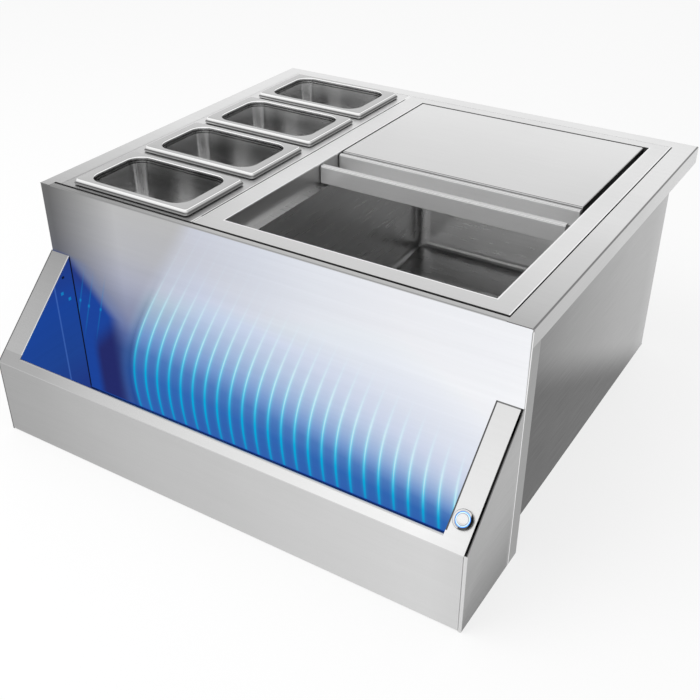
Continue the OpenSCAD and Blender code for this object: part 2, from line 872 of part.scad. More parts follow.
module garnish_pan_2() {
    pan(1);
}

module garnish_pan_3() {
    pan(2);
}

module garnish_pan_4() {
    pan(3);
}

// ---- Bottle rail ----

module rail_fascia() color(steel) seated() {
    foot = [[-rail_d, 0], [-rail_d + rail_return, 0]];
    difference() {
        union() {
            for (x = [[rail_x, leg_x], [leg_x1, rail_x1]]) {
                translate([x[0], 0, 0]) along_x(x[1] - x[0])
                    folded_section(concat([bezel_end, lower_corner], foot));
            }
            translate([leg_x, 0, 0]) along_x(leg_x1 - leg_x)
                folded_section(concat([strip_edge + bezel_lip * inward, strip_edge, lower_corner], foot));
        }
        on_bezel() cylinder(h = 4 * sheet_t, r = switch_hole_r, center = true);
    }
}

// Outline of the rail from the side, in (y, z)
module rail_outline() {
    polygon([[0, 0], [0, bezel_top_z], lower_corner, [-rail_d, 0]]);
}

module rail_end(x, inside) {
    translate([x, 0, 0]) along_x(sheet_t) rail_outline();
    intersection() {
        translate([inside, 0, 0]) along_x(cap_flange) rail_outline();
        block([0, -sheet_t, 0], [unit_w, 0, bezel_top_z - cap_flange_drop]);
    }
}

module rail_end_left() color(steel) seated() {
    rail_end(0, sheet_t / 2);
}

module rail_end_right() color(steel) seated() {
    rail_end(unit_w - sheet_t, unit_w - sheet_t / 2 - cap_flange);
}

// Height of the underside of the slanted frame at y
function bezel_under(y) = bezel_top_z + y * tan(tilt) - sheet_t / cos(tilt);

// Inner wall beside a leg, with a flange under the leg that clears the switch
module rail_cheek(x, flange_at) {
    front = behind_bend;
    foot = rail_floor_z + sheet_t;
    slope_l = norm(lower_corner - [0, bezel_top_z]);
    translate([x, 0, 0]) along_x(sheet_t) {
        polygon([
            [-cheek_back - sheet_t, foot],
            [-cheek_back, foot + sheet_t],
            [-cheek_back, bezel_under(-cheek_back)],
            [front, bezel_under(front)],
            [front, foot]
        ]);
    }
    difference() {
        translate([flange_at, lower_corner.x, lower_corner.y]) rotate([tilt, 0, 0])
            block([0, 4 * sheet_t, -2 * sheet_t], [cheek_flange, slope_l - 4 * sheet_t, -sheet_t]);
        on_bezel() cylinder(h = 6 * sheet_t, r = switch_nut_r + 1, center = true);
    }
}

module rail_cheek_left() color(dull_steel) seated() {
    rail_cheek(leg_x - sheet_t, leg_x - cheek_flange);
}

module rail_cheek_right() color(dull_steel) seated() {
    rail_cheek(leg_x1, leg_x1);
}

module rail_floor() color(dull_steel) seated() {
    flange_x = sheet_t + cap_flange;
    block([rail_x, behind_bend, rail_floor_z], [rail_x1, -sheet_t - seat_gap, rail_floor_z + sheet_t]);
    translate([flange_x, 0, rail_floor_z]) along_x(unit_w - 2 * flange_x)
        folded_section([[-2 * bend_r, 0], [0, 0], [0, floor_edge]]);
}

// ---- Lights and switch ----

module led_channel() color("lightgray") seated() {
    translate([leg_x + led_margin, front_inside, led_z - channel_h / 2]) along_x(leg_x1 - leg_x - 2 * led_margin) {
        difference() {
            square([channel_d, channel_h]);
            translate([channel_t, channel_t]) square([channel_d, channel_h - 2 * channel_t]);
        }
    }
}

module led_board() color("white") seated() {
    y = front_inside + channel_t;
    block([strip_x, y, led_z - led_board_h / 2], [strip_x1, y + led_board_t, led_z + led_board_h / 2]);
}

module led_chips() color("deepskyblue") seated() {
    y = front_inside + channel_t + led_board_t;
    for (i = [0 : led_count - 1]) {
        x = led_x + i * led_pitch - led_size / 2;
        block([x, y, led_z - led_size / 2], [x + led_size, y + led_t, led_z + led_size / 2]);
    }
}

// Frame on the slanted leg, with z out of its surface
module on_bezel() {
    place = lower_corner + switch_up * upslope;
    translate([switch_x, place.x, place.y]) rotate([tilt, 0, 0]) children();
}

module switch_housing() color(bright_steel) seated() on_bezel() {
    bore_r = switch_ring_d / 2 + cap_gap;
    bore_depth = cap_h + switch_travel + 1;
    chamfer = 0.8;
    rotate_extrude() {
        difference() {
            union() {
                polygon([
                    [0, switch_seal_t],
                    [switch_bezel_d / 2, switch_seal_t],
                    [switch_bezel_d / 2, switch_top - chamfer],
                    [switch_bezel_d / 2 - chamfer, switch_top],
                    [0, switch_top]
                ]);
                translate([0, -switch_barrel_l]) square([switch_barrel_d / 2, switch_barrel_l + switch_seal_t]);
            }
            translate([0, switch_top - bore_depth]) square([bore_r, bore_depth + cut]);
        }
    }
}

module switch_seal() color("dimgray") seated() on_bezel() {
    difference() {
        cylinder(h = switch_seal_t, r = switch_bezel_d / 2 - 0.4);
        translate([0, 0, -cut]) cylinder(h = switch_seal_t + 2 * cut, r = switch_barrel_d / 2 + 0.1);
    }
}

module switch_light_ring() color("deepskyblue") seated() on_bezel() {
    depth = cap_h + switch_travel + 1;
    translate([0, 0, switch_top - depth]) {
        difference() {
            cylinder(h = depth - 0.2, r = switch_ring_d / 2);
            translate([0, 0, -cut]) cylinder(h = depth + 2 * cut, r = switch_cap_d / 2 + cap_gap);
        }
    }
}

module switch_cap() color(bright_steel) seated() on_bezel() {
    soft = 0.6;
    translate([0, 0, switch_top + cap_proud - cap_h]) rotate_extrude() {
        polygon([
            [0, 0],
            [switch_cap_d / 2, 0],
            [switch_cap_d / 2, cap_h - soft],
            [switch_cap_d / 2 - soft, cap_h],
            [0, cap_h]
        ]);
    }
}

module switch_nut() color(dull_steel) seated() on_bezel() {
    translate([0, 0, -sheet_t - switch_nut_t]) {
        difference() {
            cylinder(h = switch_nut_t, r = switch_nut_r, $fn = 6);
            translate([0, 0, -cut]) cylinder(h = switch_nut_t + 2 * cut, r = switch_barrel_d / 2 + thread_gap);
        }
    }
}

// ---- Drain ----

module at_drain(z) {
    translate([drain_x, drain_y, z]) children();
}

module drain_flange() color(bright_steel) seated() at_drain(basin_floor_z) {
    rotate_extrude() {
        difference() {
            union() {
                square([drain_lip_r, lip_t]);
                translate([0, -drain_body_l]) square([drain_body_r, drain_body_l + lip_t]);
            }
            translate([0, -drain_body_l - cut]) square([drain_bore_r, drain_body_l + lip_t + 2 * cut]);
            translate([0, recess_z]) square([strainer_r + seat_gap, lip_t - recess_z + cut]);
        }
    }
}

module drain_gasket() color("dimgray") seated() at_drain(floor_under - gasket_t) {
    difference() {
        cylinder(h = gasket_t, r = drain_lip_r - 1);
        translate([0, 0, -cut]) cylinder(h = gasket_t + 2 * cut, r = drain_body_r + thread_gap);
    }
}

module drain_nut() color(dull_steel) seated() at_drain(floor_under - gasket_t - nut_t) {
    difference() {
        cylinder(h = nut_t, r = nut_r, $fn = 6);
        translate([0, 0, -cut]) cylinder(h = nut_t + 2 * cut, r = drain_body_r + thread_gap);
    }
}

module drain_tail() color(dull_steel) seated() at_drain(0) {
    body_end = basin_floor_z - drain_body_l;
    collar_r = drain_body_r + thread_gap;
    rotate_extrude() {
        difference() {
            union() {
                translate([0, body_end - 2]) square([collar_r + collar_t, collar_l + 2]);
                translate([0, tail_end_z]) square([tail_r, body_end - tail_end_z]);
            }
            translate([0, body_end]) square([collar_r, collar_l + cut]);
            translate([0, tail_end_z - cut]) square([tail_r - tail_t, body_end - tail_end_z + 2 * cut]);
        }
    }
}

module drain_strainer() color(bright_steel) seated() at_drain(basin_floor_z + recess_z + seat_gap) {
    difference() {
        union() {
            cylinder(h = strainer_t, r = strainer_r);
            translate([0, 0, -strainer_skirt]) cylinder(h = strainer_skirt, r = drain_bore_r - seat_gap);
        }
        translate([0, 0, -strainer_skirt - cut]) cylinder(h = strainer_skirt + cut, r = drain_bore_r - seat_gap - 1);
        for (ring = [[1, 0], [strainer_holes, strainer_ring_r]], i = [0 : ring[0] - 1]) {
            rotate([0, 0, 360 * i / ring[0]]) translate([ring[1], 0, -cut])
                cylinder(h = strainer_t + 2 * cut, r = strainer_hole_r);
        }
    }
}

// ---- Power inlet ----

module at_inlet() {
    translate([inlet_x, rear_panel_y + panel_t, inlet_z]) rotate([-90, 0, 0]) children();
}

module power_inlet() color("black") seated() at_inlet() {
    difference() {
        union() {
            cylinder(h = inlet_flange_t, r = inlet_flange_r);
            translate([0, 0, -inlet_l]) cylinder(h = inlet_l, r = inlet_r);
        }
        translate([0, 0, inlet_end_t - inlet_l]) cylinder(h = inlet_l, r = inlet_bore_r);
    }
}

module power_inlet_nut() color(dull_steel) seated() at_inlet() {
    translate([0, 0, -panel_t - inlet_nut_t]) {
        difference() {
            cylinder(h = inlet_nut_t, r = inlet_flange_r, $fn = 6);
            translate([0, 0, -cut]) cylinder(h = inlet_nut_t + 2 * cut, r = inlet_r + thread_gap);
        }
    }
}

deck_frame();
front_apron();
side_panel_left();
side_panel_right();
rear_panel();
bottom_panel();
centre_support();
garnish_frame();
bin_frame();
ice_bin_liner();
insulation_left();
insulation_right();
insulation_front();
insulation_rear();
insulation_floor();
lid_rest_rails();
rear_lid_cover();
rear_lid_nosing();
front_lid_tray();
lid_glides();
garnish_pan_1();
garnish_pan_2();
garnish_pan_3();
garnish_pan_4();
rail_fascia();
rail_end_left();
rail_end_right();
rail_cheek_left();
rail_cheek_right();
rail_floor();
led_channel();
led_board();
led_chips();
switch_housing();
switch_seal();
switch_light_ring();
switch_cap();
switch_nut();
drain_flange();
drain_gasket();
drain_nut();
drain_tail();
drain_strainer();
power_inlet();
power_inlet_nut();
panel_screws();
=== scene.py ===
import bpy
from math import radians
from mathutils import Euler, Matrix, Vector


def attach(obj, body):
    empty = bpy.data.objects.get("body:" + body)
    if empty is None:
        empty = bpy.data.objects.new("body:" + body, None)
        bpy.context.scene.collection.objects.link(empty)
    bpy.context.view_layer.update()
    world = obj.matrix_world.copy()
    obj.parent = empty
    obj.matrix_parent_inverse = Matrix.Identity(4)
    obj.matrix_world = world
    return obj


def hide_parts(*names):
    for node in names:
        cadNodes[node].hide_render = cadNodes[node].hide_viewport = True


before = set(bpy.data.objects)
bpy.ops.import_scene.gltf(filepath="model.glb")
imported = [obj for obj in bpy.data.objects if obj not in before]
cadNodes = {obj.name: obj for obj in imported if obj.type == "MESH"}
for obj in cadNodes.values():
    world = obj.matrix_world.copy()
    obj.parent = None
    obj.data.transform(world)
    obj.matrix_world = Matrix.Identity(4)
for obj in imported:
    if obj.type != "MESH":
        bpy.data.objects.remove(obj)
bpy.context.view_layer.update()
print("frame loaded:", len(cadNodes), "nodes")

# the part is drawn in mm from the deck's left edge, the apron's face and the base
perMetre = 1000.0
corner = (321.0, 211.0, 0.0)


def at(*spot):
    return Vector([(value - shift) / perMetre for value, shift in zip(spot, corner)])


def toLinear(shade):
    # screen shade 0-255 to the linear colour that a shader wants
    parts = shade if isinstance(shade, (tuple, list)) else (shade,) * 3
    line = [c / 255 for c in parts]
    return tuple(c / 12.92 if c <= 0.04045 else ((c + 0.055) / 1.055) ** 2.4 for c in line) + (1.0,)


def put(tree, socket, value):
    if isinstance(value, bpy.types.NodeSocket):
        tree.links.new(value, socket)
    else:
        socket.default_value = value


def addNode(tree, kind, inputs=None, **settings):
    made = tree.nodes.new("ShaderNode" + kind)
    for name, value in settings.items():
        setattr(made, name, value)
    for name, value in (inputs or {}).items():
        put(tree, made.inputs[name], value)
    return made


def calc(tree, operation, first, second=0.0):
    return addNode(tree, "Math", {0: first, 1: second}, operation=operation).outputs[0]


def vectorCalc(tree, operation, *values):
    made = addNode(tree, "VectorMath", dict(enumerate(values)), operation=operation)
    return made.outputs[0]


def partsOf(tree, vector):
    return addNode(tree, "SeparateXYZ", {0: vector}).outputs


def joined(tree, *parts):
    return addNode(tree, "CombineXYZ", dict(enumerate(parts))).outputs[0]


def minus(tree, first, second):
    return calc(tree, "SUBTRACT", first, second)


def times(tree, *values):
    total = values[0]
    for value in values[1:]:
        total = calc(tree, "MULTIPLY", total, value)
    return total


def largest(tree, *values):
    top = values[0]
    for value in values[1:]:
        top = calc(tree, "MAXIMUM", top, value)
    return top


def spread(tree, value, low, high, toLow=0.0, toHigh=1.0, smooth=True):
    inputs = {"Value": value, "From Min": low, "From Max": high, "To Min": toLow, "To Max": toHigh}
    kind = "SMOOTHSTEP" if smooth else "LINEAR"
    made = addNode(tree, "MapRange", inputs, interpolation_type=kind, clamp=True)
    return made.outputs["Result"]


def step(tree, known, row, smooth=True):
    # a row holds a measure's name, from, to, and what it goes from and to if not 0 and 1
    measure, *limits = row
    return spread(tree, known[measure], *limits, smooth=smooth)


def steps(tree, known, rows, *shares):
    return times(tree, *(step(tree, known, row) for row in rows), *shares)


def mixColour(tree, factor, first, second):
    # the colour sockets of the Mix node come after those for values and vectors
    return addNode(tree, "Mix", {0: factor, 6: first, 7: second}, data_type="RGBA").outputs[2]


def scaled(tree, colour, factor):
    return addNode(tree, "VectorMath", {0: colour, 3: factor}, operation="SCALE").outputs[0]


def varied(tree, colour, mark, middle, share):
    # lighter and darker by a mark of the surface
    return scaled(tree, colour, minus(tree, middle, times(tree, mark, share)))


def ramp(tree, value, stops):
    made = addNode(tree, "ValToRGB", {"Fac": value})
    marks = made.color_ramp.elements
    while len(marks) < len(stops):
        marks.new(0.5)
    for mark, (place, shade) in zip(marks, stops):
        mark.position = place
        mark.color = toLinear(shade)
    return made.outputs["Color"]


def newGroup(name, inputs, outputs):
    group = bpy.data.node_groups.new(name, "ShaderNodeTree")
    for label, kind, value in inputs:
        made = group.interface.new_socket(name=label, in_out="INPUT", socket_type="NodeSocket" + kind)
        if value is not None:
            made.default_value = value
    for label in outputs:
        group.interface.new_socket(name=label, in_out="OUTPUT", socket_type="NodeSocketFloat")
    return group, group.nodes.new("NodeGroupInput").outputs, group.nodes.new("NodeGroupOutput").inputs


# object coordinates in the drawing's millimetres
def makeDrawingPlace():
    group, given, out = newGroup("drawingPlace", [("Vector", "Vector", None)], ["X", "Y", "Z"])
    moved = vectorCalc(group, "MULTIPLY_ADD", given["Vector"], (perMetre,) * 3, corner)
    for label, part in zip("XYZ", partsOf(group, moved)):
        put(group, out[label], part)
    return group


brushed = {"sideFrom": 0.75, "fine": {"Detail": 2.0, "Roughness": 0.6},
           "bands": {"Scale": 150.0, "Detail": 3.0, "Roughness": 0.65}}


# brushing along the sheet's width, or along its depth on sides that face left or right
def makeBrushing():
    group, given, out = newGroup("brushing", [
        ("Vector", "Vector", None), ("Facing", "Vector", None),
        ("Lines", "Float", 900.0), ("Length", "Float", 60.0),
    ], ["Fine", "Bands"])
    place, facing = partsOf(group, given["Vector"]), partsOf(group, given["Facing"])
    side = calc(group, "GREATER_THAN", calc(group, "ABSOLUTE", facing[0]), brushed["sideFrom"])
    flat = minus(group, 1.0, side)
    along = calc(group, "ADD", times(group, place[1], side), times(group, place[0], flat))
    across = calc(group, "ADD", times(group, place[0], side), times(group, place[1], flat))
    shortened = calc(group, "DIVIDE", along, given["Length"])
    turned = joined(group, shortened, across, place[2])
    fine = addNode(group, "TexNoise", {"Vector": turned, "Scale": given["Lines"], **brushed["fine"]})
    bands = addNode(group, "TexNoise", {"Vector": turned, **brushed["bands"]})
    put(group, out["Fine"], fine.outputs["Fac"])
    put(group, out["Bands"], bands.outputs["Fac"])
    return group


handled = {"patches": {"Detail": 2.0, "Roughness": 0.5}, "patchRange": (0.3, 0.7),
           "specks": {"Scale": 700.0, "Detail": 2.0}, "speckRange": (0.62, 0.75)}


# soft uneven patches, as handling and cleaning leave them, and fine specks
def makeHandling():
    group, given, out = newGroup("handling", [("Vector", "Vector", None), ("Size", "Float", 7.0)],
                                 ["Patches", "Specks"])
    spot = {"Vector": given["Vector"]}
    patches = addNode(group, "TexNoise", {**spot, "Scale": given["Size"], **handled["patches"]})
    specks = addNode(group, "TexNoise", {**spot, **handled["specks"]})
    put(group, out["Patches"], spread(group, patches.outputs["Fac"], *handled["patchRange"]))
    put(group, out["Specks"], spread(group, specks.outputs["Fac"], *handled["speckRange"]))
    return group


# for each side: the part of the normal that counts, where it starts to count, and where fully
sideRanges = {"Up": ("z", 0.8, 0.95), "Front": ("y", -0.8, -0.95), "Right": ("x", 0.6, 0.9),
              "Left": ("x", -0.6, -0.9)}
slantRange = [("z", 0.6, 0.68), ("y", -0.6, -0.67)]  # the rail's sloping frame
bendRange = (0.995, 0.93)  # any bend, by the normal's largest part


# which way a face looks
def makeFacings():
    group, given, out = newGroup("facings", [("Facing", "Vector", None)],
                                 [*sideRanges, "Slant", "Fold"])
    known = dict(zip("xyz", partsOf(group, given["Facing"])))
    for side, row in sideRanges.items():
        put(group, out[side], step(group, known, row))
    slant = steps(group, known, slantRange)
    put(group, out["Slant"], slant)
    parts = [calc(group, "ABSOLUTE", part) for part in known.values()]
    bend = spread(group, largest(group, *parts), *bendRange)
    put(group, out["Fold"], times(group, bend, minus(group, 1.0, slant)))
    return group


# picks out a box of the drawing, with soft sides
def makeBoxShare():
    group, given, out = newGroup("boxShare", [
        ("X", "Float", 0.0), ("Y", "Float", 0.0), ("Z", "Float", 0.0),
        ("Middle", "Vector", None), ("Half", "Vector", None), ("Soft", "Float", 1.0),
    ], ["Share"])
    spot = joined(group, given["X"], given["Y"], given["Z"])
    away = vectorCalc(group, "ABSOLUTE", vectorCalc(group, "SUBTRACT", spot, given["Middle"]))
    away = vectorCalc(group, "SUBTRACT", away, given["Half"])
    farthest = largest(group, *partsOf(group, away))
    put(group, out["Share"], spread(group, farthest, given["Soft"], 0.0))
    return group


groups = {"drawingPlace": makeDrawingPlace(), "brushing": makeBrushing(), "handling": makeHandling(),
          "facings": makeFacings(), "boxShare": makeBoxShare()}
print("node groups made")


def placeGroup(tree, name, **values):
    made = addNode(tree, "Group", node_tree=groups[name])
    for label, value in values.items():
        put(tree, made.inputs[label], value)
    return made.outputs


materialUsual = {"lines": 900.0, "length": 60.0, "patchSize": 7.0, "metal": 1.0}


# a new material with its drawing place, facings, brushing and handling at hand
def newMaterial(name, look):
    look = {**materialUsual, **look}
    made = bpy.data.materials.new(name)
    made.use_nodes = True
    tree = made.node_tree
    own = addNode(tree, "TexCoord").outputs
    spot, facing = own["Object"], own["Normal"]
    place = placeGroup(tree, "drawingPlace", Vector=spot)
    marks = {
        "place": {"x": place["X"], "y": place["Y"], "z": place["Z"]},
        "facings": placeGroup(tree, "facings", Facing=facing),
        "grain": placeGroup(tree, "brushing", Vector=spot, Facing=facing, Lines=look["lines"],
                            Length=look["length"]),
        "wear": placeGroup(tree, "handling", Vector=spot, Size=look["patchSize"]),
    }
    shader = tree.nodes["Principled BSDF"]
    shader.inputs["Metallic"].default_value = look["metal"]
    return made, tree, shader, marks


# a plain shade, or shades that change along one direction of the drawing: axis, from, to, stops
def shadeOf(tree, marks, look):
    if isinstance(look, tuple) and isinstance(look[0], str):
        *row, stops = look
        return ramp(tree, step(tree, marks["place"], row, smooth=False), stops)
    return toLinear(look)


def boxShare(tree, marks, low, high, soft):
    middle = [(a + b) / 2 for a, b in zip(low, high)]
    half = [(b - a) / 2 for a, b in zip(low, high)]
    place = marks["place"]
    return placeGroup(tree, "boxShare", X=place["x"], Y=place["y"], Z=place["z"],
                      Middle=middle, Half=half, Soft=soft)[0]


# mixes in the boxes of a look one after another: low and high corner, soft edge, shade, share
def addBoxes(tree, marks, colour, boxes):
    for low, high, soft, shade, share in boxes:
        inBox = times(tree, boxShare(tree, marks, low, high, soft), share)
        colour = mixColour(tree, inBox, colour, shadeOf(tree, marks, shade))
    return colour


grainRange = (0.25, 0.75)  # most of the fine grain lies between these


def setRoughness(tree, shader, marks, low, high):
    fine = spread(tree, marks["grain"]["Fine"], *grainRange, low, high, smooth=False)
    put(tree, shader.inputs["Roughness"], fine)


def setBump(tree, shader, height, strength, distance=0.0002):
    bump = addNode(tree, "Bump", {"Height": height, "Strength": strength, "Distance": distance})
    put(tree, shader.inputs["Normal"], bump.outputs[0])


def setGlow(tree, shader, colour, strength):
    put(tree, shader.inputs["Emission Color"], colour)
    shader.inputs["Emission Strength"].default_value = strength


sheetUsual = {"fold": (235, 0.0), "below": [], "boxes": [], "vary": 0.07, "rough": 0.34, "bump": 0.12}
sheetVary = {"middle": 0.8, "patches": 0.6}  # shares of vary
sheetRough = (-0.05, 0.07)  # below and above rough


# brushed or plain sheet: painted shade for each way it faces, then boxes of painted shade and painted
# highlights
def sheetFinishAndPaintedLight(name, look):
    look = {**sheetUsual, **look}
    made, tree, shader, marks = newMaterial(name, look)
    colour = shadeOf(tree, marks, look["tone"])
    facings, place = marks["facings"], marks["place"]
    for side in ("Up", "Front", "Right", "Left", "Slant"):
        if side.lower() in look:
            shade = shadeOf(tree, marks, look[side.lower()])
            colour = mixColour(tree, facings[side], colour, shade)
    # the bends take the fold tone: a painted highlight where it is light, painted shade where it is
    # dark
    foldTone, foldShare = look["fold"]
    colour = mixColour(tree, times(tree, facings["Fold"], foldShare), colour, toLinear(foldTone))
    for height, slope, soft, shade, share in look["below"]:
        # darker reflection under a line that falls towards the rear
        line = minus(tree, height, times(tree, place["y"], slope))
        under = spread(tree, minus(tree, place["z"], line), soft, -soft)
        under = times(tree, under, facings["Right"], share)
        colour = mixColour(tree, under, colour, shadeOf(tree, marks, shade))
    colour = addBoxes(tree, marks, colour, look["boxes"])
    vary = look["vary"]
    level = minus(tree, 1.0 + sheetVary["middle"] * vary, times(tree, marks["grain"]["Bands"], vary))
    level = minus(tree, level, times(tree, marks["wear"]["Patches"], vary * sheetVary["patches"]))
    put(tree, shader.inputs["Base Color"], scaled(tree, colour, level))
    setRoughness(tree, shader, marks, look["rough"] + sheetRough[0], look["rough"] + sheetRough[1])
    setBump(tree, shader, marks["grain"]["Fine"], look["bump"])
    return made


mouldedUsual = {"rough": 0.5, "roughVary": 0.05, "bump": 0.1, "bumpDepth": 0.0003, "patchSize": 30.0,
                "metal": 0.0}


# plastics, rubber and foam
def mouldedFinish(name, look):
    look = {**mouldedUsual, **look}
    made, tree, shader, marks = newMaterial(name, look)
    patches = marks["wear"]["Patches"]
    put(tree, shader.inputs["Base Color"],
        mixColour(tree, patches, toLinear(look["tone"]), toLinear(look["second"])))
    rough, vary = look["rough"], look["roughVary"]
    put(tree, shader.inputs["Roughness"], spread(tree, patches, 0, 1, rough - vary, rough + vary))
    setBump(tree, shader, marks["wear"]["Specks"], look["bump"], look["bumpDepth"])
    return made


glowUsual = {"rough": 0.3, "patchSize": 120.0, "metal": 0.0}


# the chips and the ring round the push cap
def glowFinish(name, look):
    look = {**glowUsual, **look}
    made, tree, shader, marks = newMaterial(name, look)
    glow = mixColour(tree, marks["wear"]["Patches"], toLinear(look["tone"]), toLinear(look["second"]))
    if "centre" in look:
        # paler towards the cap
        spot = joined(tree, *marks["place"].values())
        away = addNode(tree, "VectorMath", {0: spot, 1: look["centre"]},
                       operation="DISTANCE").outputs["Value"]
        glow = mixColour(tree, spread(tree, away, *look["paleRange"]), toLinear(look["pale"]), glow)
    put(tree, shader.inputs["Base Color"], glow)
    setGlow(tree, shader, glow, look["strength"])
    shader.inputs["Roughness"].default_value = look["rough"]
    return made


# the apron: brushed sheet, plain above with a painted reflection of the room, with painted blue light
# of the rail's lights below, and one painted streak of reflected light for each light
litFront = {
    "width": 642.0,
    "height": 299.0,
    "paintedRoomReflection": [  # painted reflection of the room where no painted light falls, from left to right
        (0, 88), (0.012, 97), (0.031, 108), (0.0623, 142), (0.0935, 160), (0.125, 173),
        (0.156, (182, 182, 184)), (0.2, (190, 190, 196)), (0.28, (196, 197, 203)),
        (0.374, (204, 207, 218)), (0.5, (215, 219, 229)), (0.623, (228, 231, 238)),
        (0.787, (239, 240, 244)), (1, (246, 247, 250))],
    "lampHeight": 54.8,  # of the row of lights
    "lampDistance": 101.9,  # from the lights to the sheet
    "firstLamp": 35.7,
    "lampPitch": 21.06,
    "lean": 916.6,  # how far to the right the streaks lean
    "away": (1070.0, 0.58),  # how far off they are seen from, and how much less for each mm up
    # height of the painted glow from left to right, and how much lower it gets beyond the middle
    "fade": ("x", 101.0, 607.0, 240.0, 114.0),
    "sag": ("x", 240.0, 607.0, 0.0, 44.0),
    # blue of the painted glow, then cyan of the painted streaks of reflected light, by height as a
    # share of the glow's
    "blueSpan": 3.0,
    "blue": [
        (0, (50, 98, 176)), (0.09, (52, 106, 180)), (0.145, (80, 126, 190)),
        (0.19, (124, 160, 211)), (0.235, (158, 184, 221)), (0.3, (190, 206, 231)),
        (0.38, (212, 220, 238)), (0.5, (226, 231, 242)), (0.8, (241, 243, 248)),
        (1, (250, 251, 253))],
    "cyanSpan": 1.6,
    "cyan": [
        (0, (0, 158, 214)), (0.19, (10, 176, 222)), (0.31, (76, 204, 236)),
        (0.45, (160, 230, 246)), (0.6, (208, 242, 251)), (1, (226, 240, 251))],
    "tint": (0.97, 1.03, 1.14),
    "tintFade": ("level", 1.3, 0.9),
    # painted streaks of reflected light: how they fade, and their halo, line and core
    "streakFade": [("level", 1.9, 0.5), ("z", 235.0, 125.0, 0.1, 1.0), ("z", 0.0, 42.0, 0.6, 1.0),
                   ("count", -0.35, -0.1)],
    "halo": [("apart", 7.5, 0.0, 0.0, 0.3)],
    "line": [("apart", 2.9, 0.5)],
    "core": [("apart", 1.1, 0.0, 0.0, 0.6), ("level", 0.35, 0.75)],
    "coreTone": (236, 252, 253),
    "grain": (1.045, 0.09),
    "boxes": [((27.5, -1, 3), (30.6, 1, 206), 0.4, (16, 20, 42), 1.0),  # seam beside the left wall
              ((611.8, -1, 0), (642, 1, 207), 0.4, 34, 1.0)],  # painted shade behind the right leg
    # where the painted light starts, and how much of it is given off as painted light rather than metal
    "started": ("count", -1.5, 0.3),
    "washRight": ("z", 296.0, 205.0, 0.3, 0.92),
    "washLeft": [("count", 0.5, -1.0), ("z", 285.0, 190.0, 0.2, 0.92)],
    "face": ("y", 0.6, 0.3),
    "patchSize": 6.0,
    "rough": (0.3, 0.4),
    "bump": 0.05,
}
# painted light left of the first streak: the painted reflection falls off to violet, then to a painted
# blue corner
litCorner = {
    "violet": [
        (0, (50, 60, 120)), (0.31, (42, 50, 108)), (0.395, (92, 100, 146)),
        (0.45, (128, 135, 168)), (0.56, (150, 156, 180)), (0.675, (174, 177, 192)),
        (0.8, (186, 187, 192)), (1, 189)],
    "violetFall": ("x", 12.0, 118.0, 0.27, 1.0),
    "edge": (30.0, 200.0, 0.95, 92.0),  # x, height, slope and farthest x of the corner's edge
    "inside": [("past", 16.0, -12.0), ("z", 212.0, 200.0)],
    "haze": [("past", 48.0, 0.0), ("z", 212.0, 200.0)],
    "hazeTone": (84, 124, 198),
    "hazeShare": 0.3,
    "deep": ("z", 150.0, 185.0),
    "deepTones": ((30, 70, 157), (38, 60, 136)),
    "navy": [("x", 44.0, 61.0), ("aboveX", 55.0, 15.0)],
    "navyTone": (38, 44, 104),
    # faint second reflections: place, lean, bright spot and trail with their shares
    "spots": [(36.7, 146.0), (50.6, 141.6), (71.0, 142.7)],
    "spotLean": 0.33,
    "spot": [("off", 2.6, 0.4), ("up", 4.5, 0.5)],
    "spotShare": 0.85,
    "trail": [("off", 1.8, 0.2), ("up", 62.0, 10.0)],
    "trailShare": 0.3,
    "spotTone": (20, 140, 205),
}
# the apron's other faces, in painted shade: flanges behind the front, top strip, right return, and
# painted dark and bright lines along the bends
apronEdges = {
    "behind": 150,
    "top": [(0, 132), (0.12, 150), (0.4, 186), (1, 184)],
    "right": 157,
    "bend": [("z", 296.0, 294.0), ("y", 3.0, 2.5)],
    "bendTone": 112,
    "bendFront": ("y", 0.3, 0.7),
    "bendFrontTone": 248,
    "topBend": ("z", 296.5, 297.0),
    "topBendTone": 128,
    "topBendShare": 0.7,
}


# which light, counted from the left, throws its painted streak of reflected light here, and how far off
# its middle line is
def streakPlace(tree, x, z, look):
    rise = minus(tree, z, look["lampHeight"])
    reach = calc(tree, "SQRT", calc(tree, "ADD", times(tree, rise, rise), look["lampDistance"] ** 2))
    away, less = look["away"]
    share = calc(tree, "DIVIDE", reach, minus(tree, away, times(tree, z, less)))
    lamp = minus(tree, times(tree, x, calc(tree, "ADD", share, 1.0)), times(tree, share, look["lean"]))
    count = calc(tree, "DIVIDE", minus(tree, lamp, look["firstLamp"]), look["lampPitch"])
    nearest = minus(tree, calc(tree, "FRACT", calc(tree, "ADD", count, 0.5)), 0.5)
    return count, times(tree, calc(tree, "ABSOLUTE", nearest), look["lampPitch"])


# painted light: the blue glow over the painted reflection, and the painted streaks of reflected light
def litTone(tree, known, look, paintedRoomReflection):
    blue = ramp(tree, calc(tree, "DIVIDE", known["level"], look["blueSpan"]), look["blue"])
    tinted = vectorCalc(tree, "MULTIPLY", paintedRoomReflection, look["tint"])
    tinted = mixColour(tree, step(tree, known, look["tintFade"]), paintedRoomReflection, tinted)
    lit = vectorCalc(tree, "MINIMUM", blue, tinted)
    strength = steps(tree, known, look["streakFade"])
    cyan = ramp(tree, calc(tree, "DIVIDE", known["level"], look["cyanSpan"]), look["cyan"])
    for part, tone in (("halo", cyan), ("line", cyan), ("core", toLinear(look["coreTone"]))):
        lit = mixColour(tree, steps(tree, known, look[part], strength), lit, tone)
    return lit
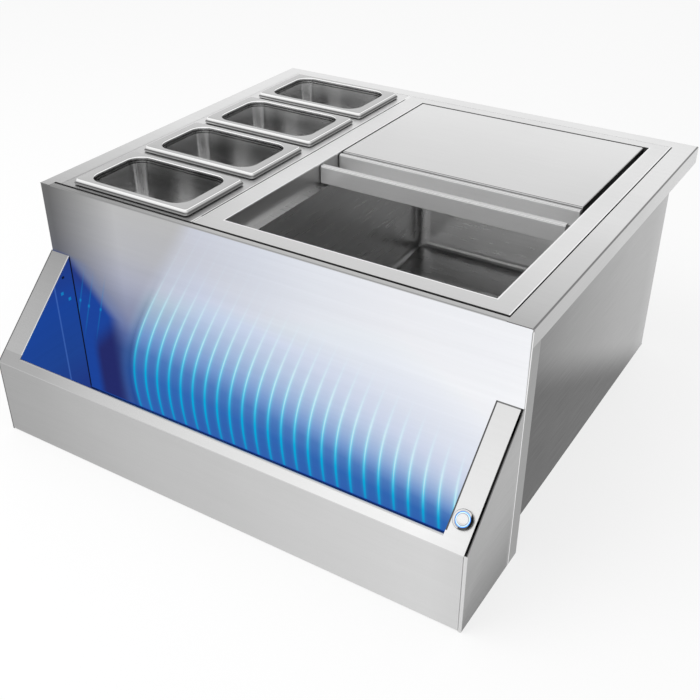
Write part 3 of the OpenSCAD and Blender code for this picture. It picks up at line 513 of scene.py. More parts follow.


# painted reflections and painted blue light in the apron's left corner, with faint painted second
# reflections of the lights
def cornerTone(tree, known, look, height):
    x, z = known["x"], known["z"]
    violet = ramp(tree, calc(tree, "DIVIDE", z, height), look["violet"])
    violet = scaled(tree, violet, step(tree, known, look["violetFall"], smooth=False))
    edgeX, edgeZ, slope, farthest = look["edge"]
    edge = calc(tree, "ADD", edgeX, times(tree, minus(tree, edgeZ, z), slope))
    known = {**known, "past": minus(tree, x, calc(tree, "MINIMUM", edge, farthest)),
             "aboveX": minus(tree, z, x)}
    deep = mixColour(tree, step(tree, known, look["deep"]), *map(toLinear, look["deepTones"]))
    deep = mixColour(tree, steps(tree, known, look["navy"]), deep, toLinear(look["navyTone"]))
    haze = steps(tree, known, look["haze"], look["hazeShare"])
    tone = mixColour(tree, haze, violet, toLinear(look["hazeTone"]))
    tone = mixColour(tree, steps(tree, known, look["inside"]), tone, deep)
    for spotX, spotZ in look["spots"]:
        up = minus(tree, z, spotZ)
        off = minus(tree, minus(tree, x, spotX), times(tree, up, look["spotLean"]))
        near = {"off": calc(tree, "ABSOLUTE", off), "up": calc(tree, "ABSOLUTE", up)}
        shares = [steps(tree, near, look[part], look[part + "Share"]) for part in ("trail", "spot")]
        tone = mixColour(tree, largest(tree, *shares), tone, toLinear(look["spotTone"]))
    return tone


# painted shade on the apron's top strip and right return, and painted dark and bright lines along its
# bends
def apronMetal(tree, known, facings, metal, look):
    top = ramp(tree, known["across"], look["top"])
    metal = mixColour(tree, facings["Up"], metal, top)
    metal = mixColour(tree, facings["Right"], metal, toLinear(look["right"]))
    bend = steps(tree, known, look["bend"], facings["Fold"])
    metal = mixColour(tree, bend, metal, toLinear(look["bendTone"]))
    bendFront = times(tree, bend, step(tree, known, look["bendFront"]))
    metal = mixColour(tree, bendFront, metal, toLinear(look["bendFrontTone"]))
    topBend = times(tree, facings["Fold"], step(tree, known, look["topBend"]), look["topBendShare"])
    return mixColour(tree, topBend, metal, mixColour(tree, 0.5, top, toLinear(look["topBendTone"])))


def litSheetFinishAndPaintedLight(name, look):
    made, tree, shader, marks = newMaterial(name, look)
    known, facings = dict(marks["place"]), marks["facings"]
    known["across"] = calc(tree, "DIVIDE", known["x"], look["width"])
    known["count"], known["apart"] = streakPlace(tree, known["x"], known["z"], look)
    # the painted glow is deepest near the bottom, and thins out sooner towards the right
    fade, sag = (step(tree, known, look[part], smooth=False) for part in ("fade", "sag"))
    known["level"] = calc(tree, "DIVIDE", known["z"], minus(tree, fade, sag))
    lit = litTone(tree, known, look, ramp(tree, known["across"], look["paintedRoomReflection"]))
    # painted light left of the first streak: painted reflections and painted blue light of the corner
    unlit = cornerTone(tree, known, litCorner, look["height"])
    started = step(tree, known, look["started"])
    shown = mixColour(tree, started, unlit, lit)
    shown = varied(tree, shown, marks["grain"]["Bands"], *look["grain"])
    shown = addBoxes(tree, marks, shown, look["boxes"])
    front = times(tree, facings["Front"], step(tree, known, look["face"]))
    wash = times(tree, started, step(tree, known, look["washRight"]))
    wash = times(tree, largest(tree, wash, steps(tree, known, look["washLeft"])), front)
    metal = scaled(tree, shown, minus(tree, 1.0, wash))
    metal = mixColour(tree, front, toLinear(apronEdges["behind"]), metal)
    put(tree, shader.inputs["Base Color"], apronMetal(tree, known, facings, metal, apronEdges))
    # the painted light is given off as a glow, though the apron is no lamp
    setGlow(tree, shader, scaled(tree, shown, wash), 1.0)
    setRoughness(tree, shader, marks, *look["rough"])
    setBump(tree, shader, marks["wear"]["Specks"], look["bump"])
    return made


# the faces that look into the rail: the right wall's, the left wall's and the floor's
railInside = {"Left": [("x", 600.0, 611.0)], "Right": [("x", 42.0, 31.0)],
              "Up": [("x", 29.0, 31.0), ("x", 613.0, 611.0)]}
railWall = {"lines": 700.0, "length": 40.0, "grain": (1.05, 0.12), "metalShare": 0.2,
            "unlit": 150, "rough": (0.35, 0.45)}


# inner walls and floor of the rail, with the light of the rail's lights painted on as a glow
def litWallFinishAndPaintedLight(name, look):
    look = {**railWall, **look}
    made, tree, shader, marks = newMaterial(name, look)
    shade = addBoxes(tree, marks, shadeOf(tree, marks, look["shade"]), look["boxes"])
    shade = varied(tree, shade, marks["grain"]["Bands"], *look["grain"])
    lit = largest(tree, *(steps(tree, marks["place"], rows, marks["facings"][side])
                          for side, rows in railInside.items()))
    put(tree, shader.inputs["Base Color"],
        mixColour(tree, lit, toLinear(look["unlit"]), scaled(tree, shade, look["metalShare"])))
    setGlow(tree, shader, scaled(tree, shade, lit), look["strength"])
    setRoughness(tree, shader, marks, *look["rough"])
    return made


# in the sheet looks, the tones for each way a face looks and the ramps along a part are painted shade
# and painted reflections, fold tones are painted highlights and shade along the bends, and most boxes
# are painted shade or painted highlights
# boxes: low and high corner, soft edge, shade, share
looks = {
    # painted reflection darker towards the front, and a painted dark line of shade along the bends
    "deckSheet": {
        "tone": 120,
        "up": ("y", 0, 534, [(0, 178), (0.06, 188), (0.28, 208), (0.5, 222), (1, 230)]),
        "right": ("y", 0, 534, [(0, 190), (0.47, 206), (1, 222)]), "left": 190,
        "fold": (116, 0.85), "vary": 0.06,
        "boxes": [((2.5, 3, 240), (639.5, 531, 297.2), 1.0, 40, 1.0)]},  # painted shade on the walls inside the slots
    # painted shade: faces other than the top and front are dark, and the top is painted darker towards
    # the front
    "garnishSheet": {
        "tone": 60, "front": 205,
        "up": ("y", 0, 534, [(0, 165), (0.12, 178), (0.3, 205), (0.5, 219), (1, 222)]),
        # painted highlight along a cut edge
        "boxes": [((225.2, 11, 298), (226.8, 511, 300), 0.3, 250, 0.8)]},
    # painted shade: hidden faces dark, the mouth's walls darker towards the rear, and a painted
    # highlight along the bends
    "binSheet": {
        "tone": 40, "up": ("y", 0, 534, [(0, 203), (0.1, 210), (0.3, 224), (1, 225)]),
        "right": ("y", 34, 494, [(0, 205), (0.06, 205), (0.25, 196), (1, 190)]),
        "left": 190, "front": 170, "fold": (235, 0.3), "vary": 0.06,
        "boxes": [((610, 5, 240), (614, 515, 297.5), 0.5, 22, 1.0),  # painted shade in the slots at both sides
                  ((226, 5, 240), (231, 515, 297.5), 0.5, 22, 1.0),
                  ((254.3, 32.2, 298), (590.3, 33.5, 300), 0.3, 250, 0.85),  # painted highlights on the cut edges
                  ((589.0, 33, 298), (590.3, 496, 300), 0.3, 250, 0.85),
                  ((254.3, 33, 297.6), (255.8, 495, 300), 0.3, 246, 0.85),
                  ((611.2, 11, 298), (612.6, 511, 300), 0.3, 248, 0.8),
                  ((228.0, 11, 298), (229.4, 511, 300), 0.3, 248, 0.6)]},
    # painted reflection lighter towards the rear, painted shade on hidden faces, and a painted
    # highlight along the bends
    "lidSheet": {
        "tone": 60, "up": ("y", 278, 493, [(0, 211), (0.45, 218), (1, 226)]),
        "front": 200, "fold": (240, 0.5), "vary": 0.035},
    # a painted highlight along the bends
    "lipSheet": {
        "tone": 170, "up": 194, "front": ("x", 257, 582, [(0, 226), (0.3, 231), (1, 230)]),
        "fold": (240, 0.75), "vary": 0.08, "metal": 0.45,
        "boxes": [((250, 236, 270), (590, 510, 276), 0.5,  # the tray's bottom, in painted shade darker towards the rear
                   ("y", 236, 269, [(0, 214), (1, 180)]), 1.0)]},
    # painted reflection darker at the left and lighter at the right, and a painted highlight along the
    # bends
    "railSheet": {
        "tone": ("x", 0, 642, [(0, 160), (0.3, 185), (0.7, 205), (1, 205)]),
        "front": ("x", 0, 642, [(0, 167), (0.1, 172), (0.25, 186), (0.5, 198), (0.75, 210),
                                (0.94, 217), (1, 213)]),
        "slant": ("x", 0, 642, [(0, 170), (0.1, 175), (0.25, 200), (0.5, 224), (0.75, 240),
                                (0.9, 246), (1, 238)]),
        "fold": (226, 0.35), "vary": 0.055,
        "boxes": [((0, -99, 110), (30.3, 3, 215), 0.4,  # painted reflection on the left leg, then on the right leg
                   ("y", -100, 0, [(0, 184), (0.5, 178), (1, 160)]), 1.0),
                  ((611.7, -92, 120), (642, 3, 215), 3.0,
                   ("y", -100, 0, [(0, 236), (0.5, 232), (1, 226)]), 1.0),
                  ((611.0, -99, 100), (613.2, 3, 215), 0.3, 46, 0.9),  # painted shade along the right leg's outline
                  ((611.0, -1.6, 200), (640, 3, 215), 0.5, 60, 0.8),
                  ((29.2, -99, 100), (30.6, 3, 215), 0.3, 238, 0.8)]},  # painted highlight on the left leg's edge
    "capSheet": {
        "tone": 120, "vary": 0.045,
        # painted shade darker towards the bottom
        "right": ("z", 0, 208, [(0, 122), (0.1, 140), (0.26, 160), (0.5, 174), (0.75, 180),
                                (1, 174)]),
        # painted highlight along the edge beside the apron
        "boxes": [((639, -3.5, 0), (643, 1, 209), 2.0, 178, 0.6),
                  ((637, -113, 0), (643, -110.6, 103), 0.4, 226, 0.9)]},  # painted highlight on the front corner
    # painted reflection lighter towards the rear, with a painted darker reflection below a line
    "sideSheet": {
        "tone": 150, "up": 140,
        "right": ("y", 20, 512, [(0, 112), (0.16, 130), (0.32, 146), (0.5, 160), (0.7, 170),
                                 (0.9, 176), (1, 190)]),
        "below": [(235.0, 0.5, 32.0, 70, 1.0)],  # height, slope, soft edge, shade, share
        "left": ("y", 20, 512, [(0, 140), (1, 180)]), "fold": (180, 0.3), "vary": 0.05},
    # painted shade: the centre support and lid rails inside are painted dark
    "innerSheet": {"tone": 70, "fold": (235, 0.3), "vary": 0.08},
    # painted shade: the liner darker at its top flange under the frame, and along the bends
    "basinSheet": {
        "tone": 226, "up": ("z", 70, 272, [(0, 226), (0.9, 226), (0.99, 190), (1, 188)]),
        "rough": 0.3, "vary": 0.16, "lines": 500.0, "length": 20.0, "fold": (150, 0.3)},
    # painted light on the switch: the face looking up the slope lighter, the sides darker, the right
    # side in painted shade
    "bezelMetal": {
        "tone": 150, "slant": 236, "right": 30, "rough": 0.14, "vary": 0.03, "bump": 0.03,
        "boxes": [((632.6, -100, 100), (637, -80, 145), 1.6, 30, 1.0),  # painted shade: a dark crescent at the right
                  ((624.0, -100, 100), (637, -94.6, 145), 1.6, 44, 0.9)]},
    "capMetal": {"tone": 190, "slant": 242, "rough": 0.24, "vary": 0.03, "bump": 0.05},
    "screwMetal": {"tone": 196, "rough": 0.2, "vary": 0.05, "bump": 0.03},
    "turnedMetal": {"tone": 225, "rough": 0.16, "vary": 0.03, "bump": 0.03},
    "channelMetal": {"tone": 205, "rough": 0.4, "vary": 0.05},
    "foamBoard": {"tone": (226, 214, 176), "second": (212, 198, 158), "rough": 0.85, "bump": 0.5},
    "whitePlastic": {"tone": 228, "second": 218, "rough": 0.45},
    "blackPlastic": {"tone": 22, "second": 30, "rough": 0.4},
    "blackRubber": {"tone": 24, "second": 32, "rough": 0.75, "bump": 0.25},
    "chipGlow": {"tone": (40, 110, 255), "second": (90, 160, 255), "strength": 3.0},
    "ringGlow": {"tone": (44, 118, 212), "second": (70, 140, 224), "strength": 1.0,
                 "centre": (625.0, -89.6, 126.3), "pale": (206, 228, 250), "paleRange": (6.5, 7.6)},
    # painted blue light of the rail's lights, given off as a glow
    "cheekLight": {
        "shade": ("z", 0, 210, [(0, (38, 58, 132)), (0.35, (34, 72, 150)), (0.7, (30, 72, 158)),
                                (1, (38, 62, 138))]),
        # a painted highlight, painted shade of a small hole, and two painted reflections of the lights
        "boxes": [((28, -32.4, 5), (32, -31.0, 190), 0.8, (74, 116, 196), 0.55),
                  ((28, -17.6, 182.6), (32, -14.0, 185.4), 0.5, (12, 16, 30), 0.9),
                  ((28, -22.8, 162), (32, -19.8, 165), 1.2, (20, 140, 205), 0.85),
                  ((28, -12.4, 150), (32, -9.4, 153), 1.2, (20, 140, 205), 0.85)],
        "strength": 0.85},
    # painted blue light of the rail's lights on its floor, given off as a glow
    "floorLight": {
        "shade": ("y", -112, 0, [(0, (60, 120, 220)), (1, (34, 76, 168))]), "boxes": [],
        "strength": 0.8},
}
finishes = {"litSheet": litSheetFinishAndPaintedLight("litSheet", litFront)}
for name, look in looks.items():
    if name.endswith("Light"):
        finishes[name] = litWallFinishAndPaintedLight(name, look)
    elif name.endswith("Glow"):
        finishes[name] = glowFinish(name, look)
    elif "second" in look:
        finishes[name] = mouldedFinish(name, look)
    else:
        finishes[name] = sheetFinishAndPaintedLight(name, look)

wearing = {
    "deckSheet": ["deck_frame"], "litSheet": ["front_apron"], "garnishSheet": ["garnish_frame"],
    "binSheet": ["bin_frame"], "lidSheet": ["rear_lid_cover"],
    "lipSheet": ["rear_lid_nosing", "front_lid_tray"],
    "railSheet": ["rail_fascia"], "capSheet": ["rail_end_left"],
    "sideSheet": ["side_panel_left", "side_panel_right", "rear_panel", "bottom_panel"],
    "innerSheet": ["centre_support", "lid_rest_rails"], "basinSheet": ["ice_bin_liner"],
    "turnedMetal": ["switch_nut", "drain_flange", "drain_nut", "drain_tail", "drain_strainer",
                    "power_inlet_nut"],
    "channelMetal": ["led_channel"],
    "foamBoard": ["insulation_left", "insulation_right", "insulation_front", "insulation_rear",
                  "insulation_floor"],
    "whitePlastic": ["led_board", "lid_glides"], "blackPlastic": ["power_inlet"],
    "blackRubber": ["switch_seal", "drain_gasket"], "chipGlow": ["led_chips"],
    "ringGlow": ["switch_light_ring"], "cheekLight": ["rail_cheek_left", "rail_cheek_right"],
    "floorLight": ["rail_floor"],
}
for finish, names in wearing.items():
    for name in names:
        slots = cadNodes[name].data.materials
        slots.clear()
        slots.append(finishes[finish])
print("finishes placed")


def setMode(mode):
    bpy.ops.object.mode_set(mode=mode)


def selectOnly(*pieces):
    bpy.ops.object.select_all(action="DESELECT")
    for piece in pieces:
        piece.select_set(True)
        bpy.context.view_layer.objects.active = piece


def pick(piece, kind, test):
    # selects faces or vertices by a test, and stays in edit mode
    setMode("EDIT")
    bpy.ops.mesh.select_mode(type=kind)
    bpy.ops.mesh.select_all(action="DESELECT")
    setMode("OBJECT")
    if kind == "FACE":
        for face in piece.data.polygons:
            face.select = test(face.center, face.normal)
    else:
        for vertex in piece.data.vertices:
            vertex.select = test(vertex.co)
    setMode("EDIT")


def pickOpenEdges(wire):
    bpy.ops.mesh.select_all(action="DESELECT")
    bpy.ops.mesh.select_non_manifold(use_wire=wire, use_boundary=True, use_multi_face=False,
                                     use_non_contiguous=False, use_verts=False)


mergeDistance = 0.00001


def closeMesh():
    bpy.ops.mesh.select_all(action="SELECT")
    bpy.ops.mesh.remove_doubles(threshold=mergeDistance)
    bpy.ops.mesh.normals_make_consistent(inside=False)


def insetSteps(rows):
    # works the selected faces inwards: how far in, and how far out along the normal, in mm
    for inward, out in rows:
        bpy.ops.mesh.inset(thickness=inward / perMetre, depth=out / perMetre)


def applied(piece, name, kind, **settings):
    # adds a modifier and applies it
    made = piece.modifiers.new(name, kind)
    for setting, value in settings.items():
        setattr(made, setting, value)
    bpy.context.view_layer.objects.active = piece
    bpy.ops.object.modifier_apply(modifier=name)


def copyOf(piece, move):
    # a copy with its own mesh, moved by so many mm
    selectOnly(piece)
    bpy.ops.object.duplicate(linked=False)
    bpy.ops.transform.translate(value=[part / perMetre for part in move])
    return bpy.context.object


def settle(piece, name, finish, body, smoothAngle):
    # closes the mesh, leaves the piece at the origin, and hands it over
    setMode("EDIT")
    closeMesh()
    setMode("OBJECT")
    bpy.ops.object.transform_apply(location=True, rotation=True, scale=True)
    bpy.ops.object.shade_smooth_by_angle(angle=radians(smoothAngle))
    piece.name = name
    piece.data.name = name
    piece.data.materials.clear()
    piece.data.materials.append(finish)
    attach(piece, body)


pan = {
    "length": 176.0, "depth": 108.0, "left": 40.0, "front": 15.6, "pitch": 123.7,
    "seat": 299.3, "rimHeight": 7.6, "sideFlange": 14.2, "longFlange": 8.5,
    "mouthRadius": 21.0, "foldInset": 3.9, "foldRadius": 4.3, "roundSegments": 8,
    "sheet": 0.8, "smoothAngle": 40,
    # from the flange outwards: how far in from the rim's edge, and how high above the seat
    "rim": [(3.2, 7.5), (2.6, 7.15), (2.25, 6.5), (1.62, 4.15), (1.3, 3.9), (0.75, 3.55),
            (0.25, 2.9), (0, 2.0), (0.25, 1.05), (0.9, 0.35), (2.0, 0.0), (3.1, 0.35),
            (3.75, 1.05), (3.95, 2.0)],
    # from the mouth downwards, step by step: how far in, and how far up
    "wall": [(0.15, -0.2), (0.35, -0.75), (0.1, -0.85), (3.0, -43.0), (3.1, -45.9), (0.9, -3.0),
             (1.2, -2.3), (1.8, -1.7), (2.6, -1.0), (3.2, -0.5)],
}


def addRoundedPlane(shape, middle, length, depth, radius):
    # a rectangle with round corners
    bpy.ops.mesh.primitive_plane_add(size=1, location=middle)
    setMode("EDIT")
    bpy.ops.transform.resize(value=(length / perMetre, depth / perMetre, 1.0), center_override=middle)
    bpy.ops.mesh.select_mode(type="VERT")
    bpy.ops.mesh.bevel(offset=radius / perMetre, segments=shape["roundSegments"], affect="VERTICES")
    bpy.ops.mesh.select_mode(type="FACE")


def modelPan(shape, finish):
    length, depth, inset = shape["length"], shape["depth"], shape["foldInset"]
    middle = at(shape["left"] + length / 2, shape["front"] + depth / 2,
                shape["seat"] + shape["rimHeight"])
    selectOnly()
    addRoundedPlane(shape, middle, length - 2 * shape["sideFlange"], depth - 2 * shape["longFlange"],
                    shape["mouthRadius"])
    piece = bpy.context.object
    bpy.ops.mesh.select_all(action="SELECT")
    insetSteps(shape["wall"])
    # the flange: a second rounded rectangle at the fold, filled in up to the mouth
    bpy.ops.mesh.select_all(action="DESELECT")
    addRoundedPlane(shape, middle, length - 2 * inset, depth - 2 * inset, shape["foldRadius"])
    bpy.ops.mesh.delete(type="ONLY_FACE")
    bpy.ops.mesh.select_mode(type="EDGE")
    pickOpenEdges(wire=True)
    bpy.ops.mesh.fill(use_beauty=True)
    # folded side and rolled bead, step by step from the open edge
    pickOpenEdges(wire=False)
    before, height = inset, shape["rimHeight"]
    for nextInset, nextHeight in shape["rim"]:
        grow = [(side - 2 * nextInset) / (side - 2 * before) for side in (length, depth)]
        lift = (0, 0, (nextHeight - height) / perMetre)
        bpy.ops.mesh.extrude_edges_move(TRANSFORM_OT_translate={"value": lift})
        bpy.ops.transform.resize(value=(*grow, 1.0), center_override=middle)
        before, height = nextInset, nextHeight
    closeMesh()
    setMode("OBJECT")
    # the drawn surface is the inner one
    applied(piece, "sheet", "SOLIDIFY", thickness=shape["sheet"] / perMetre, offset=1.0)
    settle(piece, "garnishPan1", finish, "pan_1", shape["smoothAngle"])
    return piece


# heights are in mm above the seat
pressed = {
    "inside": [(0, 236), (0.5, 232), (0.93, 222), (1, 215)],
    "insideRange": ("height", -92.0, 7.0),
    # painted highlights and shade in bands up the rolled rim
    "rim": [(0, 60), (0.1, 100), (0.24, 245), (0.34, 150), (0.5, 60), (0.56, 190), (0.7, 240),
            (0.86, 246), (1, 255)],
    "rimRange": ("height", -0.2, 7.8), "rimFrom": ("height", -0.4, -0.1), "rightDarker": 0.45,
    "flange": 186, "flangeFrom": ("height", 0.0, 6.0),
    # painted highlight: a bright line where the sheet folds over
    "fold": [("height", 6.5, 6.9), ("up", 1.0, 0.2)], "foldTone": 250, "foldShare": 0.9,
    "vary": (1.02, 0.06), "rough": (0.12, 0.2), "bump": 0.03, "lines": 700.0, "length": 30.0,
}


# polished pressed sheet of the pans: pale flange, painted highlight along the fold, painted highlights
# and shade on the rolled edge
def pressedFinishAndPaintedLight(name, look):
    made, tree, shader, marks = newMaterial(name, look)
    facings = marks["facings"]
    known = {"height": minus(tree, marks["place"]["z"], pan["seat"]), "up": facings["Up"]}
    inside, rim = (ramp(tree, step(tree, known, look[part + "Range"], smooth=False), look[part])
                   for part in ("inside", "rim"))
    # painted shade on the rim's sides that look right
    rim = varied(tree, rim, facings["Right"], 1.0, look["rightDarker"])
    colour = mixColour(tree, step(tree, known, look["rimFrom"]), inside, rim)
    level = mixColour(tree, step(tree, known, look["flangeFrom"]), inside, toLinear(look["flange"]))
    colour = mixColour(tree, facings["Up"], colour, level)
    bright = steps(tree, known, look["fold"], look["foldShare"])
    colour = mixColour(tree, bright, colour, toLinear(look["foldTone"]))
    colour = varied(tree, colour, marks["wear"]["Patches"], *look["vary"])
    put(tree, shader.inputs["Base Color"], colour)
    setRoughness(tree, shader, marks, *look["rough"])
    setBump(tree, shader, marks["grain"]["Fine"], look["bump"])
    return made


pressedSheet = pressedFinishAndPaintedLight("pressedSheet", pressed)
firstPan = modelPan(pan, pressedSheet)
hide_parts("garnish_pan_1")
for number in (2, 3, 4):
    nextPan = copyOf(firstPan, (0, pan["pitch"] * (number - 1), 0))
    settle(nextPan, "garnishPan%d" % number, pressedSheet, "pan_%d" % number,
           pan["smoothAngle"])
    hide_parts("garnish_pan_%d" % number)
print("pans made:", len(firstPan.data.polygons), "faces each")


# y and z of the slope's lower corner and top; the switch stands on it, so far up and at this x
railSlope = {"corner": (-112.0, 102.4), "top": (0, 208.4), "switchUp": 32.7, "switchX": 625.0}
upslope = (Vector(railSlope["top"]) - Vector(railSlope["corner"])).normalized()
slopeAngle = upslope.angle(Vector((1, 0)))
outward = Vector((0, -upslope.y, upslope.x))


def onSlope(height):
    # a point on the switch's axis, height mm above the leg's face
    y, z = (start + share * railSlope["switchUp"] for start, share in zip(railSlope["corner"], upslope))
    return at(railSlope["switchX"], y, z) + outward * height / perMetre


def addRound(radius, depth, place, angle, vertices):
    # a cylinder, tilted about x by an angle in radians
    selectOnly()
    bpy.ops.mesh.primitive_cylinder_add(vertices=vertices, radius=radius / perMetre,
                                        depth=depth / perMetre, location=place, rotation=(angle, 0, 0))
    return bpy.context.object


facingShare, nearAxis = 0.9, 0.0001


def topFace(centre, normal):
    return normal.z > facingShare


def endFace(centre, normal):
    return normal.z < -facingShare and abs(centre.x) < nearAxis


switch = {
    "bezelRadius": 10.5, "bezelLow": 0.8, "bezelHigh": 3.0, "vertices": 64, "smoothAngle": 30,
    # ring face, groove and bore: how far in, and how far out
    "face": [(0.45, 0.45), (1, 0.12), (0.35, -0.1), (0.6, -0.02), (0.05, -6.7)],
    # from the bezel's back to the barrel's end
    "barrel": [(1.2, 0.0), (0.01, 24.8), (0.8, 0.6)],
    "capRadius": 6.3, "capLow": -0.4, "capHigh": 3.2,
    "cap": [(0.45, 0.35), (0.5, 0.1), (0.3, -0.05), (3.0, 0.0)],
}


def modelSwitch(shape):
    def addOnSlope(radius, low, high):
        return addRound(radius, high - low, onSlope((low + high) / 2), slopeAngle, shape["vertices"])

    bezelTop = shape["bezelHigh"] - shape["face"][0][1]
    housing = addOnSlope(shape["bezelRadius"], shape["bezelLow"], bezelTop)
    pick(housing, "FACE", topFace)
    insetSteps(shape["face"])
    pick(housing, "FACE", endFace)
    insetSteps(shape["barrel"])
    smooth = shape["smoothAngle"]
    settle(housing, "switchHousing", finishes["bezelMetal"], "cabinet", smooth)
    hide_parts("switch_housing")
    cap = addOnSlope(shape["capRadius"], shape["capLow"], shape["capHigh"])
    pick(cap, "FACE", topFace)
    insetSteps(shape["cap"])
    settle(cap, "switchCap", finishes["capMetal"], "switch_button", smooth)
    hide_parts("switch_cap")


modelSwitch(switch)
print("switch made")


railEnd = {"inner": 640.8, "outer": 642.0, "sheet": 1.2, "lip": 2.2, "flange": 9.4, "flangeDrop": 6.0,
           "edge": 0.3, "edgeAngle": 50, "smoothAngle": 30}


def modelRailEnd(shape):
    # the right end cap: a plate cut to the slope, its front edge turned in to meet the fascia
    (front, cornerHeight), (back, top) = railSlope["corner"], railSlope["top"]
    low, high = at(shape["inner"], front, 0), at(shape["outer"], back, top)
    middle = (low + high) / 2
    selectOnly()
    bpy.ops.mesh.primitive_cube_add(size=1.0, location=middle)
    piece = bpy.context.object
    setMode("EDIT")
    bpy.ops.transform.resize(value=tuple(high - low), center_override=middle)
    pick(piece, "VERT", lambda spot: spot.y < 0 and spot.z > 0)
    bpy.ops.transform.translate(value=(0, 0, (cornerHeight - top) / perMetre))
    # cuts beside the front and rear edges, and below the rear flange's end
    sheet, drop = shape["sheet"], shape["flangeDrop"]
    for spot, square in ((at(0, front + sheet, 0), (0, 1, 0)), (at(0, -sheet, 0), (0, 1, 0)),
                         (at(0, 0, top - drop), (0, 0, 1))):
        bpy.ops.mesh.select_all(action="SELECT")
        bpy.ops.mesh.bisect(plane_co=spot, plane_no=square)
    frontLine = low.y + sheet / perMetre - middle.y
    backLine, topLine = high.y - sheet / perMetre - middle.y, high.z - drop / perMetre - middle.z
    for width, test in ((shape["lip"], lambda centre: centre.y < frontLine),
                        (shape["flange"], lambda centre: centre.y > backLine and centre.z < topLine)):
        pick(piece, "FACE", lambda centre, normal: normal.x < -facingShare and test(centre))
        inwards = (-width / perMetre, 0, 0)
        bpy.ops.mesh.extrude_region_move(TRANSFORM_OT_translate={"value": inwards})
    setMode("OBJECT")
    applied(piece, "edge", "BEVEL", width=shape["edge"] / perMetre, segments=2, limit_method="ANGLE",
            angle_limit=radians(shape["edgeAngle"]))
    settle(piece, "railEndRight", finishes["capSheet"], "cabinet",
           shape["smoothAngle"])
    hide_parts("rail_end_right")


modelRailEnd(railEnd)
print("rail end made")


screw = {
    "columns": (27.5, 614.5), "rows": (61.2, 143.6, 226.0), "face": 512.0,
    "headRadius": 4.0, "headHeight": 2.0, "headEdge": 1.2, "vertices": 32, "smoothAngle": 30,
    "head": [(0.35, 0.4), (0.8, 0.3), (1.2, 0.1)],
    "radius": 2.0, "length": 8.0, "tip": (0.7, 0.8), "recess": (4.6, 0.9, 1.1),
}


def modelScrew(shape):
    # a pan-head screw in the rear panel with a cross recess
    x, z, y = shape["columns"][0], shape["rows"][0], shape["face"]
    piece = addRound(shape["headRadius"], shape["headEdge"], at(x, y + shape["headEdge"] / 2, z),
                     radians(-90), shape["vertices"])
    pick(piece, "FACE", topFace)
    insetSteps(shape["head"])
    pick(piece, "FACE", endFace)
    insetSteps([(shape["headRadius"] - shape["radius"], 0.0), (0.01, shape["length"] - shape["tip"][1]),
                shape["tip"]])
    setMode("OBJECT")
    long, wide, deep = shape["recess"]
    for size in ((long, wide), (wide, long)):
        selectOnly()
        bpy.ops.mesh.primitive_cube_add(size=1 / perMetre, location=at(x, y + shape["headHeight"], z))
        blade = bpy.context.object
        setMode("EDIT")
        bpy.ops.transform.resize(value=(size[0], 2 * deep, size[1]), center_override=blade.location)
        setMode("OBJECT")
        applied(piece, "recess", "BOOLEAN", object=blade, solver="EXACT")
        bpy.data.objects.remove(blade, do_unlink=True)
    selectOnly(piece)
    settle(piece, "panelScrew1", finishes["screwMetal"], "cabinet",
           shape["smoothAngle"])
    return piece


firstScrew = modelScrew(screw)
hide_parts("panel_screws")
places = [(x, z) for x in screw["columns"] for z in screw["rows"]]
for number, (x, z) in enumerate(places[1:], 2):
    nextScrew = copyOf(firstScrew, (x - places[0][0], 0, z - places[0][1]))
    settle(nextScrew, "panelScrew%d" % number, finishes["screwMetal"], "cabinet",
           screw["smoothAngle"])
    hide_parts("panel_screws")
print("screws made:", len(places))


studio = {"floorSize": 30.0, "floorDrop": 0.4, "floorTone": 250, "floorGlow": 0.75, "fill": 0.75,
          "key": 20.0, "keySize": 1.6, "keyPlace": (-0.75, -0.85, 2.0), "keyAim": (0, 0, 0.15)}


# white to the camera and in reflections, and a plain light for everything else
def whiteShare(tree):
    ray = addNode(tree, "LightPath").outputs
    return largest(tree, ray["Is Camera Ray"], ray["Is Glossy Ray"], ray["Is Transmission Ray"])


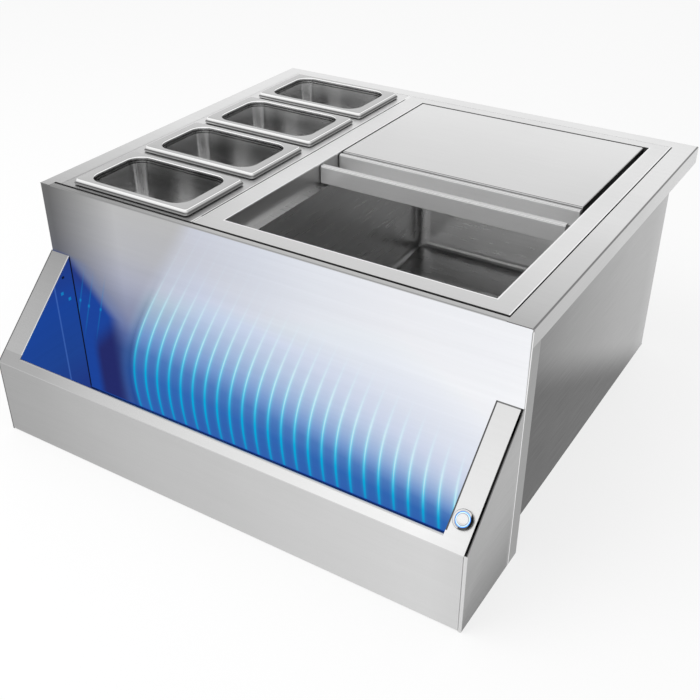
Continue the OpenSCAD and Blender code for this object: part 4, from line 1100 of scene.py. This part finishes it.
selectOnly()
under = (0, 0, -studio["floorDrop"] / perMetre)
bpy.ops.mesh.primitive_plane_add(size=studio["floorSize"], location=under)
floor = bpy.context.object
floor.name = "floor"
paper = bpy.data.materials.new("paper")
paper.use_nodes = True
tree = paper.node_tree
tree.nodes.remove(tree.nodes["Principled BSDF"])
matte = addNode(tree, "BsdfDiffuse", {"Color": toLinear(studio["floorTone"])})
white = addNode(tree, "Emission", {"Color": toLinear(255), "Strength": 1.0})
glow = times(tree, whiteShare(tree), studio["floorGlow"])
both = addNode(tree, "MixShader", {0: glow, 1: matte.outputs[0], 2: white.outputs[0]})
put(tree, tree.nodes["Material Output"].inputs[0], both.outputs[0])
floor.data.materials.append(paper)

scene = bpy.context.scene
world = bpy.data.worlds.new("studio")
scene.world = world
world.use_nodes = True
tree = world.node_tree
fill = tree.nodes["Background"]
fill.inputs["Color"].default_value = toLinear(255)
fill.inputs["Strength"].default_value = studio["fill"]
white = addNode(tree, "Background", {"Color": toLinear(255), "Strength": 1.0})
shown = whiteShare(tree)
both = addNode(tree, "MixShader", {0: shown, 1: fill.outputs[0], 2: white.outputs[0]})
put(tree, tree.nodes["World Output"].inputs[0], both.outputs[0])

lamp = bpy.data.lights.new("softbox", "AREA")
lamp.shape = "SQUARE"
lamp.size = studio["keySize"]
lamp.energy = studio["key"]
softbox = bpy.data.objects.new("softbox", lamp)
softbox.location = studio["keyPlace"]
towards = Vector(studio["keyAim"]) - softbox.location
softbox.rotation_euler = towards.to_track_quat("-Z", "Y").to_euler()
softbox.visible_glossy = False
scene.collection.objects.link(softbox)

shot = {"place": (0.5955, -0.9673, 0.7825), "turn": 32.13, "down": 32.75, "roll": -0.14,
        "lens": 51.6, "sensor": 36.0, "farthest": 100.0}
eye = bpy.data.cameras.new("shot")
eye.sensor_width = shot["sensor"]
eye.lens = shot["lens"]
eye.clip_end = shot["farthest"]
camera = bpy.data.objects.new("shot", eye)
camera.location = shot["place"]
aim = Euler((radians(90 - shot["down"]), 0, radians(shot["turn"]))).to_matrix()
camera.rotation_euler = (aim @ Matrix.Rotation(radians(shot["roll"]), 3, "Z")).to_euler()
scene.collection.objects.link(camera)
scene.camera = camera
scene.view_settings.view_transform = "Standard"
print("floor, light and camera set")
